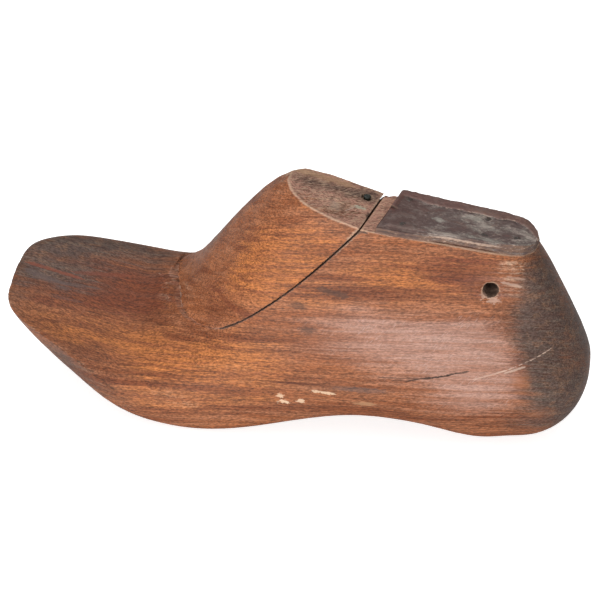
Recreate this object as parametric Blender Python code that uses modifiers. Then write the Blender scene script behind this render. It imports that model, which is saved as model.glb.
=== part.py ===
"""Wooden shoe last with a scoop block, for a left foot.

The toe points along -X, the heel along +X, the inner side of the foot is +Y and the sole is down.
Sizes are millimetres; MM turns them into metres as each mesh is made. The last's own form is a
loft through gauge sections, drawn for one pattern size and graded to the three driving sizes.
Every other piece takes its place from the same form.
"""

import math
from dataclasses import dataclass, fields

import bmesh
import bpy
import numpy as np
from mathutils import Matrix, Vector

MM = 0.001

# Driving sizes of the last
LAST_LENGTH = 279.0
BALL_WIDTH = 91.0
CONE_HEIGHT = 118.0

# The scoop cut that frees the instep block
KERF_AT_FRONT = 0.35
KERF_AT_TOP = 0.9
CUT_SKEW = math.radians(12.0)

# Cord hole bored across the heel
HEEL_HOLE_DIAMETER = 6.4
HEEL_HOLE_X = 89.5
HEEL_HOLE_Z = 82.5

# Leather nailed on the heel end of the cone
LEATHER_THICKNESS = 4.2
LEATHER_SETBACK = 8.2
LEATHER_GAP = 0.3
LEATHER_INSET = 1.3

# Cut tacks in the leather
TACK_HEAD_DIAMETER = 3.4
TACK_HEAD_THICKNESS = 0.9
TACK_SHANK_DIAMETER = 1.7
TACK_LENGTH = 13.0
TACK_EDGE_DISTANCE = 5.0
TACK_SIDE_DISTANCE = 24.0
TACK_REAR_DISTANCE = 9.6
TACK_REAR_ASIDE = -3.9

# Hardwood dowels that locate the block on the body
DOWEL_DIAMETER = 8.0
DOWEL_DEPTH_IN_BODY = 20.0
DOWEL_DEPTH_IN_BLOCK = 16.0
DOWEL_CHAMFER = 0.8
DOWEL_FRONT_X = -12.0
DOWEL_REAR_X = 12.0

# Brass pin that locks the block's upper end
PIN_HEAD_DIAMETER = 4.4
PIN_HEAD_THICKNESS = 1.4
PIN_RIM_THICKNESS = 0.6
PIN_SHANK_DIAMETER = 2.4
PIN_LENGTH = 34.0
PIN_END_DISTANCE = 5.3
PIN_Y = 5.0
PIN_EDGE_WALL = 0.4

# Fits
SLIDING_CLEARANCE = 0.3
PRESSED_CLEARANCE = 0.3
BORE_END_CLEARANCE = 0.6

# The block's sawn top and the heel's sawn top, each falling towards the heel
BLOCK_TOP_FRONT_X = -3.0
BLOCK_TOP_DROP = 10.0
BLOCK_TOP_FALL = 0.26
HEEL_TOP_FRONT_X = 40.0
HEEL_TOP_DROP = 10.6
HEEL_TOP_FALL = 0.147

# Mesh fineness
SECTIONS_PER_GAUGE = 3
SOLE_STEPS = 10
EDGE_STEPS = 3
WALL_STEPS = 3
OVER_STEPS = 28
CUT_STEPS = 26
ROUND_STEPS = 20
TACK_STEPS = 12
HOLE_STEPS = 24
DOME_STEPS = 5


@dataclass(frozen=True)
class Gauge:
    """One section across the last, in pattern millimetres, as a maker's gauge would show it.

    Each point is (y, z). On both sides the outline rises from the sole edge past the widest point,
    two points on the side and the crest's edge, to the crest's middle. arris is 1 where the outer
    side's widest point is a crisp rim and 0 where the side runs smoothly through it.
    """

    x: float
    sole: tuple
    crest: tuple
    outer_edge: tuple
    outer_wide: tuple
    outer_low: tuple
    outer_high: tuple
    outer_crest: tuple
    inner_edge: tuple
    inner_wide: tuple
    inner_low: tuple
    inner_high: tuple
    inner_crest: tuple
    arris: float = 0.0
    edge_radius: float = 4.0


GAUGES = (
    # Toe end
    Gauge(-143.0, (12, 36.0), (13, 41.5), (6, 36.6), (2.5, 38.0), (4.5, 39.2), (7, 40.0), (10, 40.9),
          (18, 37.0), (21.5, 39.7), (21, 41.4), (19, 42.2), (16, 42.0), 1.0, 0.5),
    Gauge(-141.0, (11, 31.5), (14, 43.0), (-2.5, 32.8), (-7.0, 38.3), (-2, 39.5), (4, 40.9), (9, 42.2),
          (22.5, 33.0), (29, 39.5), (29, 43.5), (25.5, 45.3), (20, 44.6), 1.0, 2.0),
    Gauge(-134.5, (8, 27.3), (15, 43.5), (-11.8, 29.3), (-16.6, 36.8), (-9, 37.7), (1, 39.5), (9, 41.9),
          (28, 28.5), (36.5, 38.0), (37, 43.5), (32.5, 47.0), (24, 46.5), 1.0, 3.0),
    Gauge(-120.5, (5, 19.5), (16, 43.5), (-20.8, 22.3), (-25.0, 33.8), (-15, 34.7), (-3, 36.9), (8, 40.8),
          (35, 22.5), (43, 34.0), (43.5, 42.0), (39, 47.3), (28, 47.4), 0.95, 3.0),
    Gauge(-102.0, (3, 11.2), (16, 43.0), (-30.5, 14.0), (-34.5, 29.2), (-23, 31.5), (-8, 34.8), (7, 40.0),
          (38.5, 15.5), (45.0, 29.0), (45.5, 39.0), (41, 45.7), (29, 46.2), 0.7, 3.5),
    # Tread
    Gauge(-80.0, (1, 4.5), (14, 43.0), (-40.2, 5.8), (-43.3, 19.0), (-31, 29.5), (-14, 34.5), (3, 40.0),
          (41, 8.5), (45.5, 24.0), (45.3, 36.0), (40.5, 44.5), (27, 45.5), 0.3, 4.0),
    Gauge(-60.0, (0, 1.3), (12, 48.5), (-43.6, 2.0), (-46.0, 13.0), (-38, 28.0), (-21, 39.0), (0, 46.0),
          (41.5, 4.5), (45.0, 20.0), (44.5, 34.5), (38, 45.5), (25, 50.0), 0.1, 4.5),
    Gauge(-45.0, (0, -0.5), (10, 70.0), (-43.8, 0.8), (-45.6, 12.5), (-39, 30.0), (-24, 44.0), (1, 66.0),
          (39, 2.0), (43.5, 18.0), (42, 35.0), (34.5, 54.0), (19, 69.0), 0.0, 4.5),
    Gauge(-30.0, (-1, -0.5), (7, 93.0), (-42.5, 1.6), (-44.2, 14.0), (-39, 34.0), (-27, 57.0), (-1, 89.5),
          (36, 2.5), (41, 18.0), (38.5, 38.0), (28.5, 66.0), (13.5, 91.0)),
    # Instep
    Gauge(-12.0, (-2, 1.0), (3, 114.0), (-40, 4.6), (-42, 18.0), (-37, 45.0), (-27, 78.0), (-5, 112.0),
          (32, 5.0), (37, 20.0), (34, 47.0), (23, 82.0), (9.5, 113.0)),
    Gauge(10.0, (-3, 5.0), (-1, 126.0), (-37, 10.0), (-39.5, 22.0), (-35, 54.0), (-25, 90.0), (-9, 124.0),
          (27, 9.0), (32.5, 26.0), (29.5, 55.0), (18.5, 90.0), (5.5, 124.0)),
    Gauge(35.0, (-3, 7.6), (-3, 128.0), (-34.5, 13.6), (-37, 28.0), (-33, 58.0), (-23, 94.0), (-11, 126.0),
          (25, 12.0), (30, 30.0), (27, 60.0), (14.5, 94.0), (3.5, 126.0)),
    # Heel
    Gauge(63.0, (-2, 4.4), (-1, 122.0), (-31.5, 10.2), (-34.5, 27.0), (-30.5, 56.0), (-20, 91.0), (-9, 120.0),
          (25.5, 8.5), (30, 28.0), (27, 58.0), (14, 91.0), (5, 120.0), 0.0, 5.0),
    Gauge(86.0, (-1, -0.3), (0, 113.0), (-28.0, 3.5), (-32.5, 24.5), (-29.5, 52.0), (-19, 85.0), (-9, 110.5),
          (25.5, 3.5), (31, 25.0), (27.5, 54.0), (15.5, 85.0), (7, 110.5), 0.0, 6.0),
    Gauge(101.0, (0, -0.5), (0, 105.0), (-24.5, 3.0), (-31, 24.5), (-28.5, 48.0), (-18, 78.0), (-9.5, 101.5),
          (23, 3.0), (29.5, 24.5), (27, 48.0), (17, 78.0), (8.5, 101.5), 0.0, 7.0),
    Gauge(112.0, (0, 0.2), (0, 91.0), (-23, 4.4), (-29.5, 24.5), (-27, 46.0), (-17.5, 68.5), (-8.5, 87.5),
          (21, 4.8), (27, 25.0), (25, 46.0), (16.5, 68.5), (8, 87.5), 0.0, 7.0),
    Gauge(123.0, (0, 4.3), (0, 69.8), (-19.5, 8.8), (-26, 25.0), (-23.5, 40.5), (-16, 55.0), (-7, 67.8),
          (17.5, 9.5), (23.5, 25.5), (21.5, 40.5), (15, 55.0), (6.5, 67.8), 0.0, 6.5),
    Gauge(131.3, (0, 13.0), (0, 52.5), (-13.0, 16.2), (-18.5, 27.0), (-16.5, 37.0), (-11, 45.5), (-4.5, 51.6),
          (12, 16.8), (17, 27.5), (15.3, 37.0), (10.5, 45.5), (4.5, 51.6), 0.0, 5.0),
    Gauge(135.2, (0, 23.3), (0, 42.3), (-7.0, 24.8), (-9.6, 30.5), (-8.6, 35.5), (-6.0, 39.5), (-2.5, 41.9),
          (6.5, 25.0), (9.2, 30.7), (8.2, 35.5), (5.8, 39.5), (2.5, 41.9), 0.0, 2.5),
    Gauge(136.0, (0, 29.5), (0, 35.5), (-1.5, 30.0), (-2.2, 32.0), (-2.0, 33.6), (-1.4, 34.8), (-0.6, 35.4),
          (1.5, 30.0), (2.2, 32.0), (2.0, 33.6), (1.4, 34.8), (0.6, 35.4), 0.0, 0.5),
)

# The scoop cut seen from the side, (x, z) in pattern millimetres, from the feather edge to the top
SCOOP_CUT = ((-71, 46.0), (-57, 46.0), (-43, 46.5), (-28, 50.5), (-14.7, 58.8), (-1.4, 69.5), (13.4, 83.5),
             (27.3, 99.0), (38.8, 113.5), (48.8, 130.0))

# The pattern's own three sizes, which the driving sizes are set against
BALL_GAUGE = max(GAUGES, key=lambda gauge: gauge.inner_wide[0] - gauge.outer_wide[0])
PATTERN_LENGTH = GAUGES[-1].x - GAUGES[0].x
PATTERN_BALL_WIDTH = BALL_GAUGE.inner_wide[0] - BALL_GAUGE.outer_wide[0]
PATTERN_CONE_HEIGHT = max(gauge.crest[1] for gauge in GAUGES) - BLOCK_TOP_DROP

WOOD_COLOUR = (0.27, 0.11, 0.055)
BLOCK_COLOUR = (0.33, 0.13, 0.055)
DOWEL_COLOUR = (0.45, 0.30, 0.16)
LEATHER_COLOUR = (0.09, 0.055, 0.045)
BRASS_COLOUR = (0.16, 0.17, 0.11)
IRON_COLOUR = (0.06, 0.055, 0.05)


def cubic_through(knots, values, samples, first_slope=None, last_slope=None):
    """Sample the smooth cubic spline through the values, with free ends or with given end slopes."""
    knots = np.asarray(knots, float)
    values = np.asarray(values, float).reshape(len(knots), -1)
    steps = np.diff(knots)
    count = len(knots)
    matrix = np.zeros((count, count))
    right = np.zeros_like(values)
    for i in range(1, count - 1):
        matrix[i, i - 1:i + 2] = steps[i - 1], 2 * (steps[i - 1] + steps[i]), steps[i]
        rise = (values[i + 1] - values[i]) / steps[i] - (values[i] - values[i - 1]) / steps[i - 1]
        right[i] = 6 * rise
    matrix[0, 0] = matrix[-1, -1] = 1
    if first_slope is not None:
        matrix[0, :2] = 2 * steps[0], steps[0]
        right[0] = 6 * ((values[1] - values[0]) / steps[0] - np.asarray(first_slope, float))
    if last_slope is not None:
        matrix[-1, -2:] = steps[-1], 2 * steps[-1]
        right[-1] = 6 * (np.asarray(last_slope, float) - (values[-1] - values[-2]) / steps[-1])
    bends = np.linalg.solve(matrix, right)
    samples = np.asarray(samples, float)
    span = np.clip(np.searchsorted(knots, samples, side="right") - 1, 0, count - 2)
    width = steps[span][:, None]
    after = (samples - knots[span])[:, None]
    before = width - after
    return (
        (bends[span] * before**3 + bends[span + 1] * after**3) / (6 * width)
        + (values[span] / width - bends[span] * width / 6) * before
        + (values[span + 1] / width - bends[span + 1] * width / 6) * after
    )


def along(points):
    """Distances along a row of points, from 0 at the first."""
    return np.concatenate([[0.0], np.cumsum(np.linalg.norm(np.diff(points, axis=0), axis=1))])


def unit(vector):
    return vector / np.linalg.norm(vector)


def grade(x, y, z):
    """A pattern point at the driving sizes."""
    return np.array([
        x * LAST_LENGTH / PATTERN_LENGTH,
        y * BALL_WIDTH / PATTERN_BALL_WIDTH,
        z * CONE_HEIGHT / PATTERN_CONE_HEIGHT,
    ])


def wall_curve(edge, wide, arris):
    """Points from the sole edge up to the widest point, ending upright unless a rim is crisp there."""
    chord = wide - edge
    upright = np.array([0.0, np.linalg.norm(chord)])
    end_slope = arris * chord + (1 - arris) * upright
    return cubic_through([0.0, 1.0], [edge, wide], np.linspace(0, 1, 9), None, end_slope)


def rounded_edge(sole_next, edge, wall, radius):
    """The sole edge's round, and the wall above it."""
    run = along(wall)
    radius = min(radius, 0.45 * run[-1], 0.45 * np.linalg.norm(sole_next - edge))
    inward = edge + radius * unit(sole_next - edge)
    upward = np.array([np.interp(radius, run, wall[:, k]) for k in (0, 1)])
    bezier = [
        (1 - t) ** 2 * inward + 2 * t * (1 - t) * edge + t**2 * upward
        for t in np.linspace(0, 1, EDGE_STEPS + 1)
    ]
    stations = np.linspace(radius, run[-1], WALL_STEPS + 1)[1:]
    above = [[np.interp(s, run, wall[:, k]) for k in (0, 1)] for s in stations]
    return np.array(bezier), np.array(above)


def section_ring(gauge):
    """The closed outline of one section, from the sole's middle round by the outer side."""
    point = {f.name: np.asarray(getattr(gauge, f.name), float) for f in fields(gauge)}
    sole = np.array([point["outer_edge"], point["sole"], point["inner_edge"]])
    sole_run = along(sole)
    sole_fine = cubic_through(sole_run, sole, np.linspace(0, sole_run[-1], 41))
    sides = {}
    for side, near in (("outer", sole_fine[1]), ("inner", sole_fine[-2])):
        arris = gauge.arris if side == "outer" else 0.0
        wall = wall_curve(point[side + "_edge"], point[side + "_wide"], arris)
        reach = point["sole"] if gauge.edge_radius > 1 else near
        sides[side] = rounded_edge(reach, point[side + "_edge"], wall, gauge.edge_radius)
    over = np.array([point[name] for name in (
        "outer_wide", "outer_low", "outer_high", "outer_crest", "crest",
        "inner_crest", "inner_high", "inner_low", "inner_wide")])
    run = along(over)
    outer_slope = unit(gauge.arris * unit(over[1] - over[0]) + (1 - gauge.arris) * np.array([0.0, 1.0]))
    inner_slope = np.array([0.0, -1.0])
    over_fine = cubic_through(run, over, np.linspace(0, run[-1], OVER_STEPS + 1), outer_slope, inner_slope)
    outer_round, outer_wall = sides["outer"]
    inner_round, inner_wall = sides["inner"]
    across = np.linspace(outer_round[0, 0], inner_round[0, 0], SOLE_STEPS + 1)[1:-1]
    sole_row = np.stack([across, np.interp(across, sole_fine[:, 0], sole_fine[:, 1])], 1)
    return np.concatenate([
        outer_round, outer_wall, over_fine[1:-1],
        inner_wall[::-1], inner_round[::-1], sole_row[::-1],
    ])


def pattern_rings():
    """Every section of the loft as an array of pattern points: sections, points, (x, y, z)."""
    names = [f.name for f in fields(Gauge)]
    sizes = [np.size(getattr(GAUGES[0], name)) for name in names]
    table = [np.concatenate([np.atleast_1d(getattr(g, name)) for name in names]) for g in GAUGES]
    knots = np.arange(len(GAUGES))
    stations = np.linspace(0, knots[-1], SECTIONS_PER_GAUGE * knots[-1] + 1)
    rows = cubic_through(knots, table, stations)
    ends = np.cumsum(sizes)[:-1]
    rings = []
    for row in rows:
        parts = [p if len(p) > 1 else float(p[0]) for p in np.split(row, ends)]
        gauge = Gauge(**dict(zip(names, parts)))
        gauge = Gauge(**{**gauge.__dict__, "arris": min(max(gauge.arris, 0.0), 1.0),
                         "edge_radius": max(gauge.edge_radius, 0.3)})
        ring = section_ring(gauge)
        rings.append(np.column_stack([np.full(len(ring), gauge.x), ring]))
    return np.array(rings)


PATTERN_RINGS = pattern_rings()
PATTERN_MIDDLE = (PATTERN_RINGS.reshape(-1, 3).min(0) + PATTERN_RINGS.reshape(-1, 3).max(0)) / 2


def place(x, y, z):
    """A pattern point at the driving sizes, with the last's middle over the origin."""
    return grade(x - PATTERN_MIDDLE[0], y - PATTERN_MIDDLE[1], z)


def block_top(x):
    """Height of the block's sawn top, in pattern millimetres."""
    return PATTERN_CONE_HEIGHT - BLOCK_TOP_FALL * (x - BLOCK_TOP_FRONT_X)


def heel_top(x):
    """Height of the heel's sawn top, in pattern millimetres."""
    return PATTERN_CONE_HEIGHT - HEEL_TOP_DROP - HEEL_TOP_FALL * (x - HEEL_TOP_FRONT_X)


def cut_curve():
    """The scoop cut as fine points (x, z), in pattern millimetres."""
    run = along(np.array(SCOOP_CUT, float))
    return cubic_through(run, SCOOP_CUT, np.linspace(0, run[-1], CUT_STEPS + 1))


def cut_height(x):
    """Height of the scoop cut at a pattern x, in pattern millimetres."""
    curve = cut_curve()
    return float(np.interp(x, curve[:, 0], curve[:, 1]))


def crossing(curve, height):
    """The last pattern x where a row of (x, z) points passes through a height given for each x."""
    above = curve[:, 1] - [height(x) for x in curve[:, 0]]
    i = np.flatnonzero(np.diff(np.sign(above)))[-1]
    share = above[i] / (above[i] - above[i + 1])
    return float(curve[i, 0] + share * (curve[i + 1, 0] - curve[i, 0]))


def block_rear():
    """Pattern x of the upper end of the scoop cut, at the block's sawn top."""
    return crossing(cut_curve(), block_top)


def leather_front():
    """Pattern x of the leather's front edge, a little way back from the scoop cut."""
    return crossing(cut_curve(), heel_top) + LEATHER_SETBACK


def heel_top_rear():
    """Pattern x of the rear end of the heel's sawn top."""
    crest = np.array([(ring[0, 0], ring[:, 2].max()) for ring in PATTERN_RINGS])
    return crossing(crest, heel_top)


def clear_scene():
    for obj in list(bpy.data.objects):
        bpy.data.objects.remove(obj, do_unlink=True)


def collection(name):
    made = bpy.data.collections.new(name)
    bpy.context.scene.collection.children.link(made)
    return made


def material(name, colour, roughness, metallic=0.0):
    made = bpy.data.materials.new(name)
    made.use_nodes = True
    shader = made.node_tree.nodes["Principled BSDF"]
    shader.inputs["Base Color"].default_value = (*colour, 1.0)
    shader.inputs["Roughness"].default_value = roughness
    shader.inputs["Metallic"].default_value = metallic
    made.diffuse_color = (*colour, 1.0)
    return made


def object_from(name, bm, group, finish=None):
    """Link a new object that holds this bmesh."""
    mesh = bpy.data.meshes.new(name)
    bm.to_mesh(mesh)
    bm.free()
    obj = bpy.data.objects.new(name, mesh)
    group.objects.link(obj)
    if finish:
        mesh.materials.append(finish)
    return obj


def loft(rings):
    """A closed bmesh through the rings, with a flat cap at each end."""
    bm = bmesh.new()
    rows = [[bm.verts.new(Vector(place(*point)) * MM) for point in ring] for ring in rings]
    around = len(rows[0])
    for row, after in zip(rows, rows[1:]):
        for i in range(around):
            j = (i + 1) % around
            bm.faces.new((row[i], row[j], after[j], after[i]))
    bm.faces.new(rows[0])
    bm.faces.new(rows[-1])
    bmesh.ops.recalc_face_normals(bm, faces=bm.faces)
    return bm


def prism(name, outline, group, skew=0.0):
    """A cutter with this (x, z) outline in real millimetres, right across the last.

    A skewed cutter's far end lies nearer the heel, as a saw cut does that isn't quite square.
    """
    half = BALL_WIDTH
    lean = half * math.tan(skew)
    bm = bmesh.new()
    face = bm.faces.new([bm.verts.new(((x - lean) * MM, -half * MM, z * MM)) for x, z in outline])
    grown = bmesh.ops.extrude_face_region(bm, geom=[face])
    moved = [v for v in grown["geom"] if isinstance(v, bmesh.types.BMVert)]
    bmesh.ops.translate(bm, vec=(2 * lean * MM, 2 * half * MM, 0), verts=moved)
    bmesh.ops.recalc_face_normals(bm, faces=bm.faces)
    return as_cutter(object_from(name, bm, group))


def as_cutter(obj):
    obj.hide_render = True
    obj.display_type = "WIRE"
    return obj


def add_cylinder(bm, foot, axis, length, diameter, steps):
    """Add a cylinder that starts at foot and runs along axis; all in real millimetres."""
    axis = Vector(axis).normalized()
    middle = (Vector(foot) + axis * length / 2) * MM
    turn = Vector((0, 0, 1)).rotation_difference(axis).to_matrix().to_4x4()
    bmesh.ops.create_cone(
        bm, cap_ends=True, segments=steps, radius1=diameter / 2 * MM, radius2=diameter / 2 * MM,
        depth=length * MM, matrix=Matrix.Translation(middle) @ turn,
    )


def boolean(obj, operation, cutter):
    modifier = obj.modifiers.new(cutter.name, "BOOLEAN")
    modifier.operation = operation
    modifier.object = cutter
    modifier.solver = "EXACT"


def turned(name, profile, foot, axis, finish, group, steps):
    """A turned piece: profile is (radius, height) from its top to its bottom, foot its zero height."""
    bm = bmesh.new()
    row = [bm.verts.new((radius * MM, 0, height * MM)) for radius, height in profile]
    for first, second in zip(row, row[1:]):
        bm.edges.new((first, second))
    obj = object_from(name, bm, group, finish)
    screw = obj.modifiers.new("turn", "SCREW")
    screw.axis = "Z"
    screw.angle = 2 * math.pi
    screw.steps = steps
    screw.render_steps = steps
    screw.use_merge_vertices = True
    screw.merge_threshold = 1e-6
    screw.use_smooth_shade = True
    obj.location = Vector(foot) * MM
    obj.rotation_euler = Vector((0, 0, 1)).rotation_difference(Vector(axis)).to_euler()
    return obj


def move_origin(obj, point):
    """Put the object's origin at a real point and leave its mesh where it is."""
    obj.data.transform(Matrix.Translation(-Vector(point) * MM))
    obj.location = Vector(point) * MM


def smooth(obj, angle=35.0):
    obj.data.shade_smooth()
    obj.data.set_sharp_from_angle(angle=math.radians(angle))


def real_outline(points):
    """(x, z) pattern points at the driving sizes."""
    graded = [place(x, 0, z) for x, z in points]
    return [(p[0], p[2]) for p in graded]


def block_cut():
    """The block's lower face: the body's cut, stood off by a kerf that opens towards the top."""
    curve = np.array(real_outline(cut_curve()))
    slopes = np.gradient(curve, axis=0)
    normals = np.stack([-slopes[:, 1], slopes[:, 0]], 1)
    normals /= np.linalg.norm(normals, axis=1)[:, None]
    share = along(curve) / along(curve)[-1]
    return curve + normals * (KERF_AT_FRONT + (KERF_AT_TOP - KERF_AT_FRONT) * share)[:, None]


def over_block(curve):
    """Close a cut curve over the front and the top of the last."""
    high = 2 * CONE_HEIGHT
    return [*map(tuple, curve), (curve[-1][0], high), (curve[0][0], high)]


def all_above(low):
    """An (x, z) outline of all that lies above a height given as a function of pattern x."""
    ends = (-PATTERN_LENGTH, PATTERN_LENGTH)
    high = 3 * PATTERN_CONE_HEIGHT
    return real_outline([(ends[0], low(ends[0])), (ends[1], low(ends[1])), (ends[1], high), (ends[0], high)])


def real_fall(fall):
    """A pattern slope at the driving sizes."""
    return fall * (CONE_HEIGHT / PATTERN_CONE_HEIGHT) / (LAST_LENGTH / PATTERN_LENGTH)


def heel_top_frame():
    """The heel top as a plane: a point of it, its direction to the heel and its upward normal."""
    point = Vector(place(HEEL_TOP_FRONT_X, 0, heel_top(HEEL_TOP_FRONT_X)))
    back = Vector((1, 0, -real_fall(HEEL_TOP_FALL))).normalized()
    normal = Vector((-back.z, 0, back.x))
    return point, back, normal


def heel_top_sides(x):
    """The two sides of the heel's sawn top at a pattern x, as real y."""
    ring = min(PATTERN_RINGS, key=lambda ring: abs(ring[0, 0] - x))
    across = ring[ring[:, 2] > heel_top(x), 1]
    return place(x, across.min(), 0)[1], place(x, across.max(), 0)[1]


def tack_places():
    """Points on the wood under each tack: two pairs at the leather's sides and one at its rear end."""
    found = []
    for x in (leather_front() + TACK_EDGE_DISTANCE, heel_top_rear() - TACK_SIDE_DISTANCE):
        outer, inner = heel_top_sides(x)
        found += [(x, outer + TACK_EDGE_DISTANCE), (x, inner - TACK_EDGE_DISTANCE)]
    x = heel_top_rear() - TACK_REAR_DISTANCE
    found.append((x, sum(heel_top_sides(x)) / 2 + TACK_REAR_ASIDE))
    return [Vector((place(x, 0, 0)[0], y, place(x, 0, heel_top(x))[2])) for x, y in found]


def leather_blank(group, finish):
    """Leather cut a little inside the outline of the last at the heel top, with upright sides."""
    point, _, normal = heel_top_frame()
    bm = loft(PATTERN_RINGS)
    everything = [*bm.verts, *bm.edges, *bm.faces]
    bmesh.ops.bisect_plane(
        bm, geom=everything, plane_co=point * MM, plane_no=normal, clear_inner=True, clear_outer=True)
    made = bmesh.ops.edgeloop_fill(bm, edges=bm.edges)
    rim = bmesh.ops.inset_region(bm, faces=made["faces"], thickness=LEATHER_INSET * MM, use_even_offset=True)
    bmesh.ops.delete(bm, geom=rim["faces"], context="FACES")
    bmesh.ops.translate(bm, vec=normal * LEATHER_GAP * MM, verts=bm.verts)
    grown = bmesh.ops.extrude_face_region(bm, geom=made["faces"])
    raised = [v for v in grown["geom"] if isinstance(v, bmesh.types.BMVert)]
    bmesh.ops.translate(bm, vec=normal * LEATHER_THICKNESS * MM, verts=raised)
    bmesh.ops.recalc_face_normals(bm, faces=bm.faces)
    return object_from("heel_top_leather", bm, group, finish)


def cylinder_cutter(group, name, *rods):
    """One cutter made of rods, each given as (foot, axis, length, diameter, steps)."""
    bm = bmesh.new()
    for rod in rods:
        add_cylinder(bm, *rod)
    return as_cutter(object_from(name, bm, group))


def make_body(parts, cutters):
    """The toe, sides and heel, sawn flat at the sole's lowest points, the scoop and the heel top."""
    body = object_from("last_body", loft(PATTERN_RINGS), parts, material("body wood", WOOD_COLOUR, 0.45))
    reach, depth = LAST_LENGTH, CONE_HEIGHT
    under = [(-reach, -depth), (reach, -depth), (reach, 0.0), (-reach, 0.0)]
    boolean(body, "DIFFERENCE", prism("ground_cutter", under, cutters))
    scoop = over_block(real_outline(cut_curve()))
    boolean(body, "DIFFERENCE", prism("scoop_cutter", scoop, cutters, CUT_SKEW))
    boolean(body, "DIFFERENCE", prism("heel_top_cutter", all_above(heel_top), cutters))
    middle = place(HEEL_HOLE_X, PATTERN_MIDDLE[1], HEEL_HOLE_Z)
    start = (middle[0], -BALL_WIDTH, middle[2])
    hole = (start, (0, 1, 0), 2 * BALL_WIDTH, HEEL_HOLE_DIAMETER, HOLE_STEPS)
    boolean(body, "DIFFERENCE", cylinder_cutter(cutters, "cord_hole", hole))
    return body


def make_block(parts, cutters):
    """The loose block over the instep, with its origin on its dowels, along which it lifts."""
    finish = material("block wood", BLOCK_COLOUR, 0.42)
    block = object_from("instep_block", loft(PATTERN_RINGS), parts, finish)
    boolean(block, "INTERSECT", prism("block_space", over_block(block_cut()), cutters, CUT_SKEW))
    boolean(block, "DIFFERENCE", prism("block_top_cutter", all_above(block_top), cutters))
    middle_x = (DOWEL_FRONT_X + DOWEL_REAR_X) / 2
    move_origin(block, place(middle_x, PATTERN_MIDDLE[1], cut_height(middle_x)))
    return block


def make_leather(parts, cutters):
    """The leather on the heel top, cut square to it at the front and skewed as the saw cut is."""
    leather = leather_blank(parts, material("heel leather", LEATHER_COLOUR, 0.6))
    point, back, normal = heel_top_frame()
    edge = point + back * (place(leather_front(), 0, 0)[0] - point.x)
    rise, run = normal * CONE_HEIGHT, back * LAST_LENGTH
    before_leather = [edge - rise, edge + rise, edge + rise - run, edge - rise - run]
    cutter = prism("leather_front_cutter", [(p.x, p.z) for p in before_leather], cutters, CUT_SKEW)
    boolean(leather, "DIFFERENCE", cutter)
    return leather


def add_dowels(parts, cutters, body, block):
    """The two dowels, pressed into the body and free in the block."""
    finish = material("dowel wood", DOWEL_COLOUR, 0.6)
    length = DOWEL_DEPTH_IN_BODY + DOWEL_DEPTH_IN_BLOCK
    radius = DOWEL_DIAMETER / 2
    profile = [(0, length), (radius - DOWEL_CHAMFER, length), (radius, length - DOWEL_CHAMFER),
               (radius, DOWEL_CHAMFER), (radius - DOWEL_CHAMFER, 0), (0, 0)]
    up = Vector((0, 0, 1))
    for place_name, x in (("front", DOWEL_FRONT_X), ("rear", DOWEL_REAR_X)):
        seat = Vector(place(x, PATTERN_MIDDLE[1], cut_height(x)))
        foot = seat - up * DOWEL_DEPTH_IN_BODY
        turned(f"{place_name}_locating_dowel", profile, foot, up, finish, parts, ROUND_STEPS)
        bore = DOWEL_DIAMETER + 2 * PRESSED_CLEARANCE
        pressed = (foot - up * BORE_END_CLEARANCE, up, 2 * length, bore, ROUND_STEPS)
        boolean(body, "DIFFERENCE", cylinder_cutter(cutters, f"{place_name}_dowel_bore_in_body", pressed))
        free = (foot, up, length + BORE_END_CLEARANCE, DOWEL_DIAMETER + 2 * SLIDING_CLEARANCE, ROUND_STEPS)
        boolean(block, "DIFFERENCE", cylinder_cutter(cutters, f"{place_name}_dowel_bore_in_block", free))


def add_pin(parts, cutters, body, block):
    """The pin that locks the block, its domed head let into the block's sawn top."""
    pin_x = block_rear() - PIN_END_DISTANCE
    top = Vector(place(pin_x, 0, block_top(pin_x)))
    top.y = PIN_Y
    up = Vector((0, 0, 1))
    head, shank = PIN_HEAD_DIAMETER / 2, PIN_SHANK_DIAMETER / 2
    seat = top - up * (real_fall(BLOCK_TOP_FALL) * head + PIN_EDGE_WALL)
    shoulder = seat + up * SLIDING_CLEARANCE
    dome = PIN_HEAD_THICKNESS - PIN_RIM_THICKNESS
    profile = [(head * math.sin(a), PIN_RIM_THICKNESS + dome * math.cos(a))
               for a in np.linspace(0, math.pi / 2, DOME_STEPS)]
    profile += [(head, 0.0), (shank, 0.0), (shank, 2 * shank - PIN_LENGTH), (0, -PIN_LENGTH)]
    finish = material("tarnished brass", BRASS_COLOUR, 0.55, 0.8)
    turned("block_locking_pin", profile, shoulder, up, finish, parts, ROUND_STEPS)
    low = seat - up * (PIN_LENGTH + BORE_END_CLEARANCE)
    bore = (low, up, 2 * PIN_LENGTH, PIN_SHANK_DIAMETER + 2 * SLIDING_CLEARANCE, ROUND_STEPS)
    spot_face = (seat, up, PIN_LENGTH, PIN_HEAD_DIAMETER + 2 * SLIDING_CLEARANCE, ROUND_STEPS)
    boolean(body, "DIFFERENCE", cylinder_cutter(cutters, "pin_bore_in_body", bore))
    boolean(block, "DIFFERENCE", cylinder_cutter(cutters, "pin_bore_in_block", bore))
    boolean(block, "DIFFERENCE", cylinder_cutter(cutters, "pin_spot_face", spot_face))


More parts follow.
